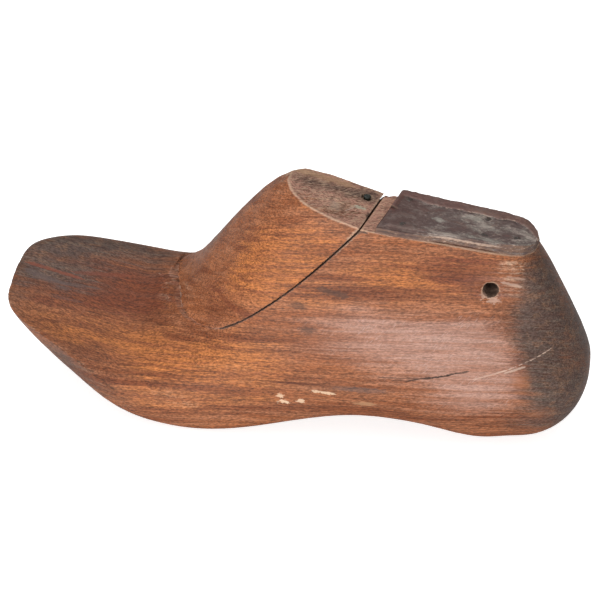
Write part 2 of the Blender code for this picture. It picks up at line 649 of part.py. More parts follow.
def add_tacks(parts, cutters, body, leather):
    """The tacks, square to the leather, with their heads just under its surface."""
    normal = heel_top_frame()[2]
    finish = material("tack iron", IRON_COLOUR, 0.6, 0.7)
    head, shank = TACK_HEAD_DIAMETER / 2, TACK_SHANK_DIAMETER / 2
    crown = [(0, TACK_HEAD_THICKNESS), (0.8 * head, 0.85 * TACK_HEAD_THICKNESS)]
    rim = [(head, 0.4 * TACK_HEAD_THICKNESS), (head, 0)]
    point = [(shank, 0), (0.8 * shank, -0.7 * TACK_LENGTH), (0, -TACK_LENGTH)]
    length = TACK_LENGTH + BORE_END_CLEARANCE
    bores, recesses = [], []
    for number, spot in enumerate(tack_places(), 1):
        seat = spot + normal * (LEATHER_GAP + LEATHER_THICKNESS - TACK_HEAD_THICKNESS)
        turned(f"leather_tack_{number}", crown + rim + point, seat, normal, finish, parts, TACK_STEPS)
        foot = seat - normal * length
        bores.append((foot, normal, 2 * length, TACK_SHANK_DIAMETER + 2 * PRESSED_CLEARANCE, TACK_STEPS))
        floor = seat - normal * PRESSED_CLEARANCE
        recesses.append((floor, normal, length, TACK_HEAD_DIAMETER + 2 * PRESSED_CLEARANCE, TACK_STEPS))
    boolean(body, "DIFFERENCE", cylinder_cutter(cutters, "tack_bores_in_body", *bores))
    boolean(leather, "DIFFERENCE", cylinder_cutter(cutters, "tack_bores_in_leather", *bores))
    boolean(leather, "DIFFERENCE", cylinder_cutter(cutters, "tack_recesses", *recesses))


def build():
    clear_scene()
    parts = collection("shoe_last")
    cutters = collection("cutters")
    body = make_body(parts, cutters)
    block = make_block(parts, cutters)
    leather = make_leather(parts, cutters)
    add_dowels(parts, cutters, body, block)
    add_pin(parts, cutters, body, block)
    add_tacks(parts, cutters, body, leather)
    for obj in (body, block, leather):
        smooth(obj)


build()
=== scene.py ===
"""Looks of a wooden shoe last with a lift-off instep block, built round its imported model.

The toe points along -X, the heel along +X, +Y is the inner side of the foot and +Z is up. Shapes are worked
out in millimetres, and MM turns them into the metres of the frame as each mesh is written back.
"""

import logging
import math
from collections.abc import Iterator
from contextlib import contextmanager
from dataclasses import dataclass, field
from enum import Enum

import bmesh
import bpy
import numpy as np
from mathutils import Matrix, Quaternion, Vector
from mathutils.kdtree import KDTree


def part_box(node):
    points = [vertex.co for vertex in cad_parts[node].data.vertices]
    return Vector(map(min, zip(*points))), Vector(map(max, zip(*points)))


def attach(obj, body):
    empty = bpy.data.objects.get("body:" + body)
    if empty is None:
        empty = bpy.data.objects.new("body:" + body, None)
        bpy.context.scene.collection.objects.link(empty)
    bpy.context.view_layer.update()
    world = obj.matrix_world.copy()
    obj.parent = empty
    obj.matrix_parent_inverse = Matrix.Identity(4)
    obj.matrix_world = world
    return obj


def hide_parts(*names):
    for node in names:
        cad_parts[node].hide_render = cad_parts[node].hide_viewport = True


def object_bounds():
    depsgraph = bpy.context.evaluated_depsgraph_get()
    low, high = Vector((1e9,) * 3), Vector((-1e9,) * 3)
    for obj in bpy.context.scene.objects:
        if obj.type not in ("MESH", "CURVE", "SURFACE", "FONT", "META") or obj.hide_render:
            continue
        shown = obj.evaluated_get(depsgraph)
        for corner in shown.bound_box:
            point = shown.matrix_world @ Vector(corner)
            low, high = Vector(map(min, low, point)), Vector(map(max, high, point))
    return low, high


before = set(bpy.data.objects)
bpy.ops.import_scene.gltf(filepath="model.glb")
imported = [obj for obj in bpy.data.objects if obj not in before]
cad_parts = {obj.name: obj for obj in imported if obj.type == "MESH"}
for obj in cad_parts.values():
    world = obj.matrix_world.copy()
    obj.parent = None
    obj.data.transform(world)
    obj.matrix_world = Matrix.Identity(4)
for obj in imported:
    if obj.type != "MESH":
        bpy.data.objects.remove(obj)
CAD_BOX = [list(corner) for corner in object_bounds()]
MM = 0.001
MERGE_DISTANCE = 1e-6
NOISE_SEED_STEP = 101
log = logging.getLogger("shoe_last")
Colour = tuple[float, float, float]
Point = tuple[float, float, float]


# Hand tools: selection, modifiers, noise and vertex work


def only(piece: bpy.types.Object) -> None:
    """Deselect everything, then select this piece and make it active.

    Args:
        piece: the object that the next operator works on.
    """
    bpy.ops.object.select_all(action="DESELECT")
    piece.select_set(True)
    bpy.context.view_layer.objects.active = piece


@contextmanager
def editing() -> Iterator[None]:
    """Edit mode for the active piece, and object mode again at the end."""
    bpy.ops.object.mode_set(mode="EDIT")
    yield
    bpy.ops.object.mode_set(mode="OBJECT")


def smooth_shaded(piece: bpy.types.Object) -> None:
    """Shade all of a piece's faces smoothly."""
    only(piece)
    bpy.ops.object.shade_smooth()


def use_modifier(piece: bpy.types.Object, kind: str, **settings: object) -> None:
    """Add one modifier with these settings and apply it.

    Args:
        piece: the object that gets it.
        kind: the modifier's type.
        settings: its properties by name.
    """
    only(piece)
    modifier = piece.modifiers.new(kind.lower(), kind)
    for name, value in settings.items():
        setattr(modifier, name, value)
    bpy.ops.object.modifier_apply(modifier=modifier.name)


def copy_of_node(node: str, name: str) -> bpy.types.Object:
    """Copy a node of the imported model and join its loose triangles.

    Args:
        node: the node's name.
        name: the new piece's name.

    Returns:
        The new piece, with a mesh of its own and no material.
    """
    piece = bpy.data.objects.new(name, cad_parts[node].data.copy())
    bpy.context.scene.collection.objects.link(piece)
    piece.data.materials.clear()
    only(piece)
    with editing():
        bpy.ops.mesh.select_all(action="SELECT")
        bpy.ops.mesh.remove_doubles(threshold=MERGE_DISTANCE)
    return piece


def remesh(piece: bpy.types.Object, voxel: float) -> None:
    """Rebuild a closed piece as one even skin.

    Args:
        piece: the object to rebuild.
        voxel: the size of its new faces, in millimetres.
    """
    only(piece)
    piece.data.remesh_voxel_size = voxel * MM
    piece.data.use_remesh_preserve_volume = True
    bpy.ops.object.voxel_remesh()


def thin_out(piece: bpy.types.Object, most: int) -> None:
    """Bring a piece under a number of triangles, keeping its detail.

    Args:
        piece: the object to thin.
        most: how many triangles it may keep.
    """
    now = sum(len(face.vertices) - 2 for face in piece.data.polygons)
    if now > most:
        only(piece)
        with editing():
            bpy.ops.mesh.select_all(action="SELECT")
            bpy.ops.mesh.decimate(ratio=most / now)


def settle(piece: bpy.types.Object) -> None:
    """Move a piece's place, turn and scale into its mesh."""
    only(piece)
    bpy.ops.object.transform_apply(location=True, rotation=True, scale=True)


def join(pieces: list[bpy.types.Object]) -> bpy.types.Object:
    """Join pieces into the first of them.

    Args:
        pieces: the objects to join; the first keeps its name.

    Returns:
        The first piece, which now holds all their meshes.
    """
    only(pieces[0])
    for piece in pieces[1:]:
        piece.select_set(True)
    bpy.ops.object.join()
    return pieces[0]


def crisp_edge_points(piece: bpy.types.Object, angle: float, step: float) -> np.ndarray:
    """Points along every edge that folds more sharply than an angle.

    Args:
        piece: a merged mesh.
        angle: the least fold, in radians.
        step: the distance between points, in millimetres.

    Returns:
        The points in millimetres, one row each.
    """
    bm = bmesh.new()
    bm.from_mesh(piece.data)
    rows = []
    for edge in bm.edges:
        if len(edge.link_faces) == 2 and edge.calc_face_angle() > angle:
            first, second = (vert.co for vert in edge.verts)
            count = max(1, math.ceil(edge.calc_length() / MM / step))
            rows += [first.lerp(second, i / count) for i in range(count + 1)]
    bm.free()
    return np.array(rows) / MM


def distance_to(points: np.ndarray, targets: np.ndarray) -> np.ndarray:
    """Distance from each point to the nearest target.

    Args:
        points: rows of x, y, z.
        targets: rows of x, y, z.

    Returns:
        One distance per point, in the points' own unit.
    """
    tree = KDTree(len(targets))
    for i, target in enumerate(targets):
        tree.insert(target, i)
    tree.balance()
    return np.array([tree.find(point)[2] for point in points])


def ramp(values: np.ndarray, low: float, high: float) -> np.ndarray:
    """A smooth step from 0 at low to 1 at high, or back down where high is the lesser."""
    share = np.clip((values - low) / (high - low), 0, 1)
    return share * share * (3 - 2 * share)


def cell_values(cells: np.ndarray, seed: int) -> np.ndarray:
    """A repeatable value between -1 and 1 for each whole-number cell.

    Args:
        cells: rows of three whole numbers.
        seed: picks another set of values.

    Returns:
        One value per row.
    """
    x, y, z = cells.T
    mixed = x * 73856093 ^ y * 19349663 ^ z * 83492791 ^ seed * 2654435761
    mixed = (mixed ^ mixed >> 13) * 1274126177 & 0xFFFFFFFF
    mixed = (mixed ^ mixed >> 15) * 2246822519 & 0xFFFFFFFF
    return ((mixed ^ mixed >> 16) & 0xFFFFFF) / 0x7FFFFF - 1.0


def noise(points: np.ndarray, size: Point, seed: int, octaves: int = 1) -> np.ndarray:
    """Smooth repeatable noise, roughly between -1 and 1.

    Args:
        points: rows of x, y, z.
        size: the length of one swell along each axis, in the points' unit.
        seed: picks another pattern.
        octaves: how many finer layers are added, each of half the size and strength.

    Returns:
        One value per point.
    """
    total = np.zeros(len(points))
    strength, norm = 1.0, 0.0
    for octave in range(octaves):
        at = points / np.array(size) * 2**octave
        low = np.floor(at).astype(np.int64)
        part = at - low
        part = part * part * (3 - 2 * part)
        value = np.zeros(len(points))
        for corner in range(8):
            step = np.array([corner & 1, corner >> 1 & 1, corner >> 2])
            weight = np.prod(np.where(step == 1, part, 1 - part), axis=1)
            value += weight * cell_values(low + step, seed + NOISE_SEED_STEP * octave)
        total += strength * value
        norm += strength
        strength *= 0.5
    return total / norm


class Relief:
    """A piece's vertices as arrays in millimetres, for shaping its surface as a carver would."""

    def __init__(self, piece: bpy.types.Object, in_place: bool = True) -> None:
        """Read the piece's vertices and edges.

        Args:
            piece: the object to shape.
            in_place: whether it lies where it belongs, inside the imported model's box.
        """
        self.piece, self.in_place = piece, in_place
        mesh = piece.data
        flat = np.empty(len(mesh.vertices) * 3, np.float32)
        mesh.vertices.foreach_get("co", flat)
        self.points = flat.reshape(-1, 3).astype(float) / MM
        ends = np.empty(len(mesh.edges) * 2, np.int32)
        mesh.edges.foreach_get("vertices", ends)
        self.ends = ends.reshape(-1, 2)
        self.degree = np.maximum(np.bincount(ends, minlength=len(self.points)), 1)

    def write(self) -> None:
        """Put the points back into the mesh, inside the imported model's box where the piece is in its place."""
        if self.in_place:
            self.points = np.clip(self.points, *(np.array(corner) / MM for corner in CAD_BOX))
        self.piece.data.vertices.foreach_set("co", (self.points * MM).astype(np.float32).ravel())
        self.piece.data.update()

    def normals(self) -> np.ndarray:
        """The outward direction at each vertex, after writing the points back."""
        self.write()
        flat = np.empty(len(self.points) * 3, np.float32)
        self.piece.data.vertices.foreach_get("normal", flat)
        return flat.reshape(-1, 3).astype(float)

    def averaged(self, values: np.ndarray) -> np.ndarray:
        """The mean over each vertex's neighbours.

        Args:
            values: one value per vertex.

        Returns:
            One mean per vertex.
        """
        first, second = self.ends.T
        size = len(self.points)
        total = np.bincount(first, values[second], size) + np.bincount(second, values[first], size)
        return total / self.degree

    def relax(self, rounds: int, share: np.ndarray | float) -> None:
        """Smooth the surface.

        Args:
            rounds: how many times it is gone over.
            share: how far each vertex moves to its neighbours' mean each time.
        """
        for _ in range(rounds):
            means = np.stack([self.averaged(self.points[:, k]) for k in range(3)], 1)
            self.points += (means - self.points) * np.reshape(share, (-1, 1))

    def lift(self, amount: np.ndarray) -> None:
        """Move each vertex along its outward direction."""
        self.points += self.normals() * amount[:, None]

    def fullness(self, rounds: int) -> np.ndarray:
        """How far each vertex stands out from the smoothed surface, in millimetres.

        Args:
            rounds: how many times the comparison surface is smoothed.

        Returns:
            More than 0 on ridges and edges, less than 0 in hollows.
        """
        normals = self.normals()
        kept = self.points.copy()
        self.relax(rounds, 0.5)
        out = ((kept - self.points) * normals).sum(1)
        self.points = kept
        return out

    def paint(self, name: str, values: np.ndarray) -> None:
        """Store one number per vertex for the materials."""
        layer = self.piece.data.attributes.new(name, "FLOAT", "POINT")
        layer.data.foreach_set("value", np.asarray(values, np.float32))


@dataclass(frozen=True)
class Dent:
    """A hollow pressed or broken into the surface, in millimetres."""

    at: Point
    reach: Point
    depth: float
    steep: float = 0.0

    def share(self, points: np.ndarray) -> np.ndarray:
        """How deep each point lies in it, between 0 and 1.

        Args:
            points: rows of x, y, z.

        Returns:
            One value per point.
        """
        away = np.linalg.norm((points - self.at) / np.array(self.reach), axis=1)
        away = away + 0.25 * noise(points, (1.6, 0.8, 0.8), 5)
        return ramp(away, 1.0, self.steep)


class Stain(Enum):
    """The lasting colour changes that old wood takes on; the rosy one also carries a painted sheen highlight."""

    SMOKE = "smoke"
    AMBER = "amber"
    RUSSET = "russet"
    # Rosy wood tone with a painted sheen highlight laid over it.
    ROSE_AND_SHEEN = "rose_and_sheen"
    BARE = "bare"


@dataclass(frozen=True)
class Patch:
    """A soft-edged patch of one stain, in millimetres."""

    stain: Stain
    at: Point
    reach: Point
    strength: float


def stains(stain: Stain, *rows: tuple[Point, Point, float]) -> tuple[Patch, ...]:
    """Patches of one stain, from their places, reaches and strengths."""
    return tuple(Patch(stain, *row) for row in rows)


def paint_stains(relief: Relief, patches: tuple[Patch, ...], darkening: np.ndarray | float = 0.0) -> None:
    """Store how much of each stain every vertex takes.

    Args:
        relief: the piece to stain.
        patches: all its patches.
        darkening: more smoke, per vertex.
    """
    points = relief.points
    wander = np.stack([noise(points, (26, 9, 9), 31 + k, 3) for k in range(3)], 1)
    for stain in Stain:
        amount = np.zeros(len(points)) + (darkening if stain is Stain.SMOKE else 0.0)
        for patch in patches:
            if patch.stain is stain:
                away = (points - patch.at) / np.array(patch.reach) + 0.3 * wander
                amount += patch.strength * ramp(np.linalg.norm(away, axis=1), 1.4, 0.1)
        relief.paint(stain.value, np.clip(amount, 0, 1))


# Shader building


class Signal:
    """What comes out of a socket, for sums that are written with the usual signs."""

    def __init__(self, graph: "Graph", socket: bpy.types.NodeSocket) -> None:
        """Keep the graph and the socket."""
        self.graph, self.socket = graph, socket

    def __add__(self, other: object) -> "Signal":
        """This plus the other."""
        return self.graph.math("ADD", self, other)

    def __radd__(self, other: object) -> "Signal":
        """The other plus this."""
        return self.graph.math("ADD", other, self)

    def __sub__(self, other: object) -> "Signal":
        """This minus the other."""
        return self.graph.math("SUBTRACT", self, other)

    def __rsub__(self, other: object) -> "Signal":
        """The other minus this."""
        return self.graph.math("SUBTRACT", other, self)

    def __mul__(self, other: object) -> "Signal":
        """This times the other."""
        return self.graph.math("MULTIPLY", self, other)

    def __truediv__(self, other: object) -> "Signal":
        """This over the other."""
        return self.graph.math("DIVIDE", self, other)


class Graph:
    """Adds nodes to one shader tree and hands back what comes out of them."""

    def __init__(self, tree: bpy.types.NodeTree) -> None:
        """Keep the material's or the group's node tree."""
        self.tree = tree

    def feed(self, socket: bpy.types.NodeSocket, value: object) -> None:
        """Link a socket or set its value.

        Args:
            socket: the input.
            value: a signal, or a number, vector or colour.
        """
        if isinstance(value, Signal):
            self.tree.links.new(value.socket, socket)
        elif value is not None:
            socket.default_value = value

    def node(self, kind: str, inputs: dict | None = None, **settings: object) -> bpy.types.Node:
        """Add a node.

        Args:
            kind: the node's type name.
            inputs: what goes into its sockets, by name or number.
            settings: its properties by name.

        Returns:
            The node.
        """
        node = self.tree.nodes.new(kind)
        for name, value in settings.items():
            setattr(node, name, value)
        for key, value in (inputs or {}).items():
            self.feed(node.inputs[key], value)
        return node

    def add(self, kind: str, output: int | str, inputs: dict | None = None, **settings: object) -> Signal:
        """Add a node and take one of its outputs, by name or number."""
        return Signal(self, self.node(kind, inputs, **settings).outputs[output])

    def math(self, operation: str, first: object, second: object, clamp: bool = False) -> Signal:
        """One sum on numbers, kept between 0 and 1 where clamp is on."""
        inputs = {0: first, 1: second}
        return self.add("ShaderNodeMath", 0, inputs, operation=operation, use_clamp=clamp)

    def vector(self, operation: str, first: object, second: object = None) -> Signal:
        """One sum on vectors, whose result is a number for LENGTH and DOT_PRODUCT."""
        output = "Value" if operation in ("LENGTH", "DOT_PRODUCT") else "Vector"
        return self.add("ShaderNodeVectorMath", output, {0: first, 1: second}, operation=operation)

    def parts(self, vector: object) -> list[Signal]:
        """A vector's x, y and z."""
        return [Signal(self, part) for part in self.node("ShaderNodeSeparateXYZ", {0: vector}).outputs]

    def times(self, vector: object, share: object) -> Signal:
        """A vector times a number."""
        return self.add("ShaderNodeVectorMath", "Vector", {0: vector, "Scale": share}, operation="SCALE")

    def turned(self, vector: object, angles: object) -> Signal:
        """A vector turned by angles about the three axes."""
        return self.add("ShaderNodeMapping", "Vector", {"Vector": vector, "Rotation": angles})

    def scaled(self, vector: object, size: Point) -> Signal:
        """A place divided by the length of one swell along each axis, for noise at that size."""
        return self.vector("MULTIPLY", vector, tuple(1 / length for length in size))

    def noise(self, vector: object, detail: float = 2.0, roughness: float = 0.5) -> Signal:
        """Noise between 0 and 1 at swells of size 1."""
        inputs = {"Vector": vector, "Scale": 1.0, "Detail": detail, "Roughness": roughness}
        return self.add("ShaderNodeTexNoise", "Fac", inputs)

    def step(self, value: object, low: object, high: object) -> Signal:
        """A smooth step from 0 at low to 1 at high."""
        inputs = {"Value": value, "From Min": low, "From Max": high}
        return self.add("ShaderNodeMapRange", 0, inputs, interpolation_type="SMOOTHSTEP")

    def mix(self, share: object, first: object, second: object, blend: str = "MIX") -> Signal:
        """Mix two colours.

        Args:
            share: how much of the second.
            first: a colour or signal.
            second: another.
            blend: how they mix.

        Returns:
            The colour.
        """
        colours = [(*colour, 1.0) if isinstance(colour, tuple) else colour for colour in (first, second)]
        inputs = {0: share, 6: colours[0], 7: colours[1]}
        return self.add("ShaderNodeMix", 2, inputs, data_type="RGBA", blend_type=blend)

    def layered(self, colour: Signal, *layers: tuple[Signal, float, object]) -> Signal:
        """A colour under layers, each of which is a mask, its strength and its own colour."""
        for mask, strength, tint in layers:
            colour = self.mix(mask * strength, colour, tint)
        return colour

    def shaded(self, colour: Signal, shade: Signal) -> Signal:
        """A colour made lighter or darker by a number about 1."""
        grey = self.add("ShaderNodeCombineColor", 0, {0: shade, 1: shade, 2: shade})
        return self.mix(1.0, colour, grey, "MULTIPLY")

    def attribute(self, name: str) -> Signal:
        """A number stored on the piece's vertices."""
        return self.add("ShaderNodeAttribute", "Fac", attribute_name=name)


@dataclass(frozen=True)
class Layer:
    """Noise at one size, hardened between two levels into a mask."""

    size: Point
    detail: float
    low: float
    high: float
    roughness: float = 0.5

    def mask(self, graph: Graph, place: Signal) -> Signal:
        """The layer at a place, between 0 and 1."""
        values = graph.noise(graph.scaled(place, self.size), self.detail, self.roughness)
        return graph.step(values, self.low, self.high)


class Effect:
    """A shader node group with named inputs and outputs, made once and placed in many materials."""

    title = ""
    inputs: tuple[tuple[str, str, object], ...] = ()
    outputs: tuple[str, ...] = ()

    def __init__(self) -> None:
        """Make the group's sockets and its nodes."""
        self.tree = bpy.data.node_groups.new(self.title, "ShaderNodeTree")
        for name, kind, value in self.inputs:
            socket = self.tree.interface.new_socket(name, in_out="INPUT", socket_type="NodeSocket" + kind)
            socket.default_value = value
        for name in self.outputs:
            self.tree.interface.new_socket(name, in_out="OUTPUT", socket_type="NodeSocketFloat")
        graph = Graph(self.tree)
        given = {socket.name: Signal(graph, socket) for socket in graph.node("NodeGroupInput").outputs}
        made = graph.node("NodeGroupOutput").inputs
        for name, signal in zip(self.outputs, self.draw(graph, given), strict=True):
            graph.feed(made[name], signal)

    def draw(self, graph: Graph, given: dict[str, Signal]) -> tuple[Signal, ...]:
        """Build the nodes.

        Args:
            graph: the group's tree.
            given: the group's inputs.

        Returns:
            One signal for each of the outputs.
        """
        raise NotImplementedError

    def place(self, graph: Graph, **values: object) -> dict[str, Signal]:
        """Put the group in a material with these inputs, and take its outputs."""
        node = graph.node("ShaderNodeGroup", None, node_tree=self.tree)
        for name, value in values.items():
            graph.feed(node.inputs[name], value)
        return {name: Signal(graph, node.outputs[name]) for name in self.outputs}


class WoodFigure(Effect):
    """Straight streaky grain along X: broad bands, streaks, lines, open pores, fine fibres, ash and grit."""

    title = "wood figure"
    inputs = (("Place", "Vector", (0, 0, 0)), ("Wander", "Float", 6.0))
    outputs = ("Broad", "Streaks", "Lines", "Pores", "Fibre", "Ash", "Grit")
    ball = -76.0
    toe_slope = 0.36
    rise = 0.07
    lean = math.radians(30)
    swell = (85, 32, 32)
    aside = (61.0, 33.0, 7.0)
    bent_layers = (
        Layer((120, 26, 11), 3.0, 0.34, 0.66, 0.55),
        Layer((55, 9, 2.0), 3.0, 0.34, 0.66, 0.66),
        Layer((46, 6, 0.75), 2.0, 0.54, 0.72),
        Layer((3.6, 0.7, 0.42), 1.0, 0.52, 0.66),
        Layer((13, 1.5, 0.55), 3.0, 0.25, 0.75, 0.75),
    )
    ash = Layer((34, 5, 0.9), 2.0, 0.48, 0.62)
    grit = Layer((1.6, 0.6, 0.6), 1.0, 0.30, 0.70, 0.7)

    def draw(self, graph: Graph, given: dict[str, Signal]) -> tuple[Signal, ...]:
        """Every layer is noise in thin sheets that lie along the grain and lean across it."""
        x, y, z = graph.parts(given["Place"])
        past_ball = graph.math("MAXIMUM", self.ball - x, 0.0)
        along = {0: x, 1: y - past_ball * self.toe_slope, 2: z - x * self.rise}
        place = graph.turned(graph.add("ShaderNodeCombineXYZ", 0, along), (self.lean, 0, 0))
        swell = {"Vector": graph.scaled(place, self.swell), "Scale": 1.0, "Detail": 1.0}
        shift = graph.vector("SUBTRACT", graph.add("ShaderNodeTexNoise", "Color", swell), (0.5, 0.5, 0.5))
        bent = graph.vector("ADD", place, graph.times(shift, given["Wander"]))
        ash = self.ash.mask(graph, graph.vector("ADD", bent, self.aside))
        return (*(layer.mask(graph, bent) for layer in self.bent_layers), ash, self.grit.mask(graph, place))


class SpotMark(Effect):
    """A ragged spot round a point: a chip, a knot or a fleck."""

    title = "spot mark"
    inputs = (("Place", "Vector", (0, 0, 0)), ("Centre", "Vector", (0, 0, 0)), ("Reach", "Vector", (1, 1, 1)),
              ("Rough", "Float", 0.0), ("Ragged", "Float", 0.5), ("Soft", "Float", 0.25))
    outputs = ("Mask",)

    def draw(self, graph: Graph, given: dict[str, Signal]) -> tuple[Signal, ...]:
        """Distance in units of the spot's reach, broken up by noise that is handed in."""
        offset = graph.vector("SUBTRACT", given["Place"], given["Centre"])
        away = graph.vector("LENGTH", graph.vector("DIVIDE", offset, given["Reach"]))
        away = away + given["Rough"] * given["Ragged"]
        return (1.0 - graph.step(away, 1.0 - given["Soft"], 1.0 + given["Soft"]),)


class LineMark(Effect):
    """A thin mark along a straight run: a scratch or a crack."""

    title = "line mark"
    inputs = (("Place", "Vector", (0, 0, 0)), ("From", "Vector", (0, 0, 0)), ("To", "Vector", (1, 0, 0)),
              ("Flatten", "Vector", (1, 0.1, 1)), ("Width", "Float", 0.3), ("Rough", "Float", 0.0),
              ("Ragged", "Float", 0.5))
    outputs = ("Mask",)
    end_width = 0.2
    taper = 0.12
    core, rim = 0.45, 1.1

    def draw(self, graph: Graph, given: dict[str, Signal]) -> tuple[Signal, ...]:
        """Distance from the run, which tapers to both ends and is broken up by noise that is handed in."""
        run = graph.vector("MULTIPLY", graph.vector("SUBTRACT", given["To"], given["From"]), given["Flatten"])
        offset = graph.vector("SUBTRACT", given["Place"], given["From"])
        offset = graph.vector("MULTIPLY", offset, given["Flatten"])
        share = graph.math("DIVIDE", graph.vector("DOT_PRODUCT", offset, run),
                           graph.vector("DOT_PRODUCT", run, run), clamp=True)
        away = graph.vector("LENGTH", graph.vector("SUBTRACT", offset, graph.times(run, share)))
        width = given["Width"] * (self.end_width + graph.step(share * (1.0 - share), 0.0, self.taper))
        away = away / width + given["Rough"] * given["Ragged"]
        return (1.0 - graph.step(away, self.core, self.rim),)


class ToolMarks(Effect):
    """Fine parallel scratches from a rasp or scraper, in broken patches."""

    title = "tool marks"
    inputs = (("Place", "Vector", (0, 0, 0)), ("Turn", "Vector", (0, 0, 0)),
              ("Spacing", "Vector", (0.6, 9, 9)))
    outputs = ("Scratches", "Scuffs")
    patches = Layer((14, 9, 9), 2.0, 0.42, 0.6)

    def draw(self, graph: Graph, given: dict[str, Signal]) -> tuple[Signal, ...]:
        """Noise stretched along the scratches; the scratches show only here and there."""
        turned = graph.turned(given["Place"], given["Turn"])
        marks = graph.noise(graph.vector("DIVIDE", turned, given["Spacing"]), 2.0, 0.6)
        scratches = graph.step(marks, 0.56, 0.72) * self.patches.mask(graph, given["Place"])
        return scratches, graph.step(marks, 0.50, 0.64)


class BrokenEdge(Effect):
    """Turns a stored wear amount, or one of dirt and painted shade, into a ragged mask."""

    title = "broken edge"
    inputs = (("Place", "Vector", (0, 0, 0)), ("Amount", "Float", 0.0), ("Size", "Vector", (3.0, 0.9, 0.9)))
    outputs = ("Mask",)
    raggedness = 1.3

    def draw(self, graph: Graph, given: dict[str, Signal]) -> tuple[Signal, ...]:
        """The amount lifted or lowered by noise, then hardened."""
        rough = graph.noise(graph.vector("DIVIDE", given["Place"], given["Size"]), 4.0, 0.65)
        level = given["Amount"] + (rough - 0.5) * self.raggedness
        return (graph.step(level, 0.3, 0.75) * graph.step(given["Amount"], 0.0, 0.15),)


@dataclass
class Effects:
    """Every shared effect, made once."""

    figure: WoodFigure = field(default_factory=WoodFigure)
    spot: SpotMark = field(default_factory=SpotMark)
    line: LineMark = field(default_factory=LineMark)
    tools: ToolMarks = field(default_factory=ToolMarks)
    broken: BrokenEdge = field(default_factory=BrokenEdge)


@dataclass(frozen=True)
class Mark:
    """A small mark in a material: a spot, or a line where it has an end."""

    at: Point
    reach: Point = (1.0, 1.0, 1.0)
    colour: Colour = (0.030, 0.018, 0.013)
    strength: float = 1.0
    to: Point | None = None
    width: float = 0.4
    depth: float = 0.0
    ragged: float = 1.6
    soft: float = 0.3
    grainy: float = 0.0
    flatten: Point = (1.0, 0.1, 1.0)

    def mask(self, effects: Effects, graph: Graph, place: Signal, rough: Signal) -> Signal:
        """Draw the mark in a material.

        Args:
            effects: the shared effects.
            graph: the material's tree.
            place: the place, in millimetres.
            rough: noise about 0 that makes its outline ragged.

        Returns:
            How strongly it shows.
        """
        if self.to:
            return effects.line.place(graph, Place=place, From=self.at, To=self.to, Flatten=self.flatten,
                                      Width=self.width, Rough=rough, Ragged=self.ragged)["Mask"]
        return effects.spot.place(graph, Place=place, Centre=self.at, Reach=self.reach, Rough=rough,
                                  Ragged=self.ragged, Soft=self.soft)["Mask"]


class Finish:
    """The start of every material: its tree, its shader and places in millimetres."""

    def __init__(self, name: str) -> None:
        """Make an empty material with this name."""
        self.material = bpy.data.materials.new(name)
        self.material.use_nodes = True
        self.graph = Graph(self.material.node_tree)
        self.shader = self.material.node_tree.nodes["Principled BSDF"]
        place = self.graph.add("ShaderNodeTexCoord", "Object")
        self.place = self.graph.vector("MULTIPLY", place, (1 / MM, 1 / MM, 1 / MM))

    def connect(self, colour: Signal, roughness: object, height: Signal, bump: float = 1.0,
                **constants: float) -> None:
        """Feed the shader.

        Args:
            colour: the base colour.
            roughness: the roughness.
            height: the height in millimetres.
            bump: the bump's strength.
            constants: values set on the shader's own sockets, with _ for each space in a name.
        """
        relief = {"Strength": bump, "Distance": MM, "Height": height}
        relief = self.graph.add("ShaderNodeBump", "Normal", relief)
        for name, value in (("Base Color", colour), ("Roughness", roughness), ("Normal", relief)):
            self.graph.feed(self.shader.inputs[name], value)
        for name, value in constants.items():
            self.shader.inputs[name.replace("_", " ")].default_value = value

    def ragged_mask(self, effects: Effects, name: str, **size: Point) -> Signal:
        """A stored amount as a mask with a ragged edge, whose size is given as Size."""
        amount = self.graph.attribute(name)
        return effects.broken.place(self.graph, Place=self.place, Amount=amount, **size)["Mask"]

    def marked(self, effects: Effects, marks: tuple[Mark, ...], colour: Signal, height: Signal,
               rough: Signal, streaks: Signal | None = None) -> tuple[Signal, Signal]:
        """Draw small marks into the colour and the height.

        Args:
            effects: the shared effects.
            marks: the marks.
            colour: the colour so far.
            height: the height so far.
            rough: noise about 0 that makes their outlines ragged.
            streaks: the wood's streaks, for marks that follow the grain.

        Returns:
            The new colour and height.
        """
        for mark in marks:
            mask = mark.mask(effects, self.graph, self.place, rough)
            if mark.grainy:
                mask = mask * (1 - mark.grainy + streaks * mark.grainy)
            colour = self.graph.mix(mask * mark.strength, colour, mark.colour)
            if mark.depth:
                height = height - mask * mark.depth
        return colour, height

    def dress(self, piece: bpy.types.Object) -> None:
        """Give the piece this material."""
        piece.data.materials.clear()
        piece.data.materials.append(self.material)


@dataclass(frozen=True)
class WoodColours:
    """The colours one piece of wood shows, from its figure to its stains."""

    deep: Colour = (0.140, 0.040, 0.015)
    middle: Colour = (0.240, 0.080, 0.030)
    light: Colour = (0.350, 0.145, 0.070)
    line: Colour = (0.045, 0.014, 0.008)
    smoke: Colour = (0.075, 0.048, 0.039)
    ash: Colour = (0.126, 0.094, 0.074)
    umber: Colour = (0.108, 0.068, 0.047)
    amber: Colour = (0.360, 0.122, 0.034)
    russet: Colour = (0.120, 0.028, 0.011)
    # The rosy tone, which also paints the sheen highlight.
    rose_and_sheen: Colour = (0.385, 0.238, 0.192)
    bare: Colour = (0.450, 0.300, 0.205)
    # The colour of dirt and of painted shade.
    dirt_and_shade: Colour = (0.030, 0.020, 0.016)
    sawn: Colour = (0.400, 0.225, 0.170)


@dataclass(frozen=True)
class Hatching:
    """Fine parallel scratches: how they are turned, spaced and tinted, and how strongly they show."""

    turn: Point = (0.0, 0.0, 0.0)
    spacing: Point = (0.6, 9.0, 9.0)
    strength: float = 0.3
    where: str = "rose_and_sheen"
    rest: float = 0.0


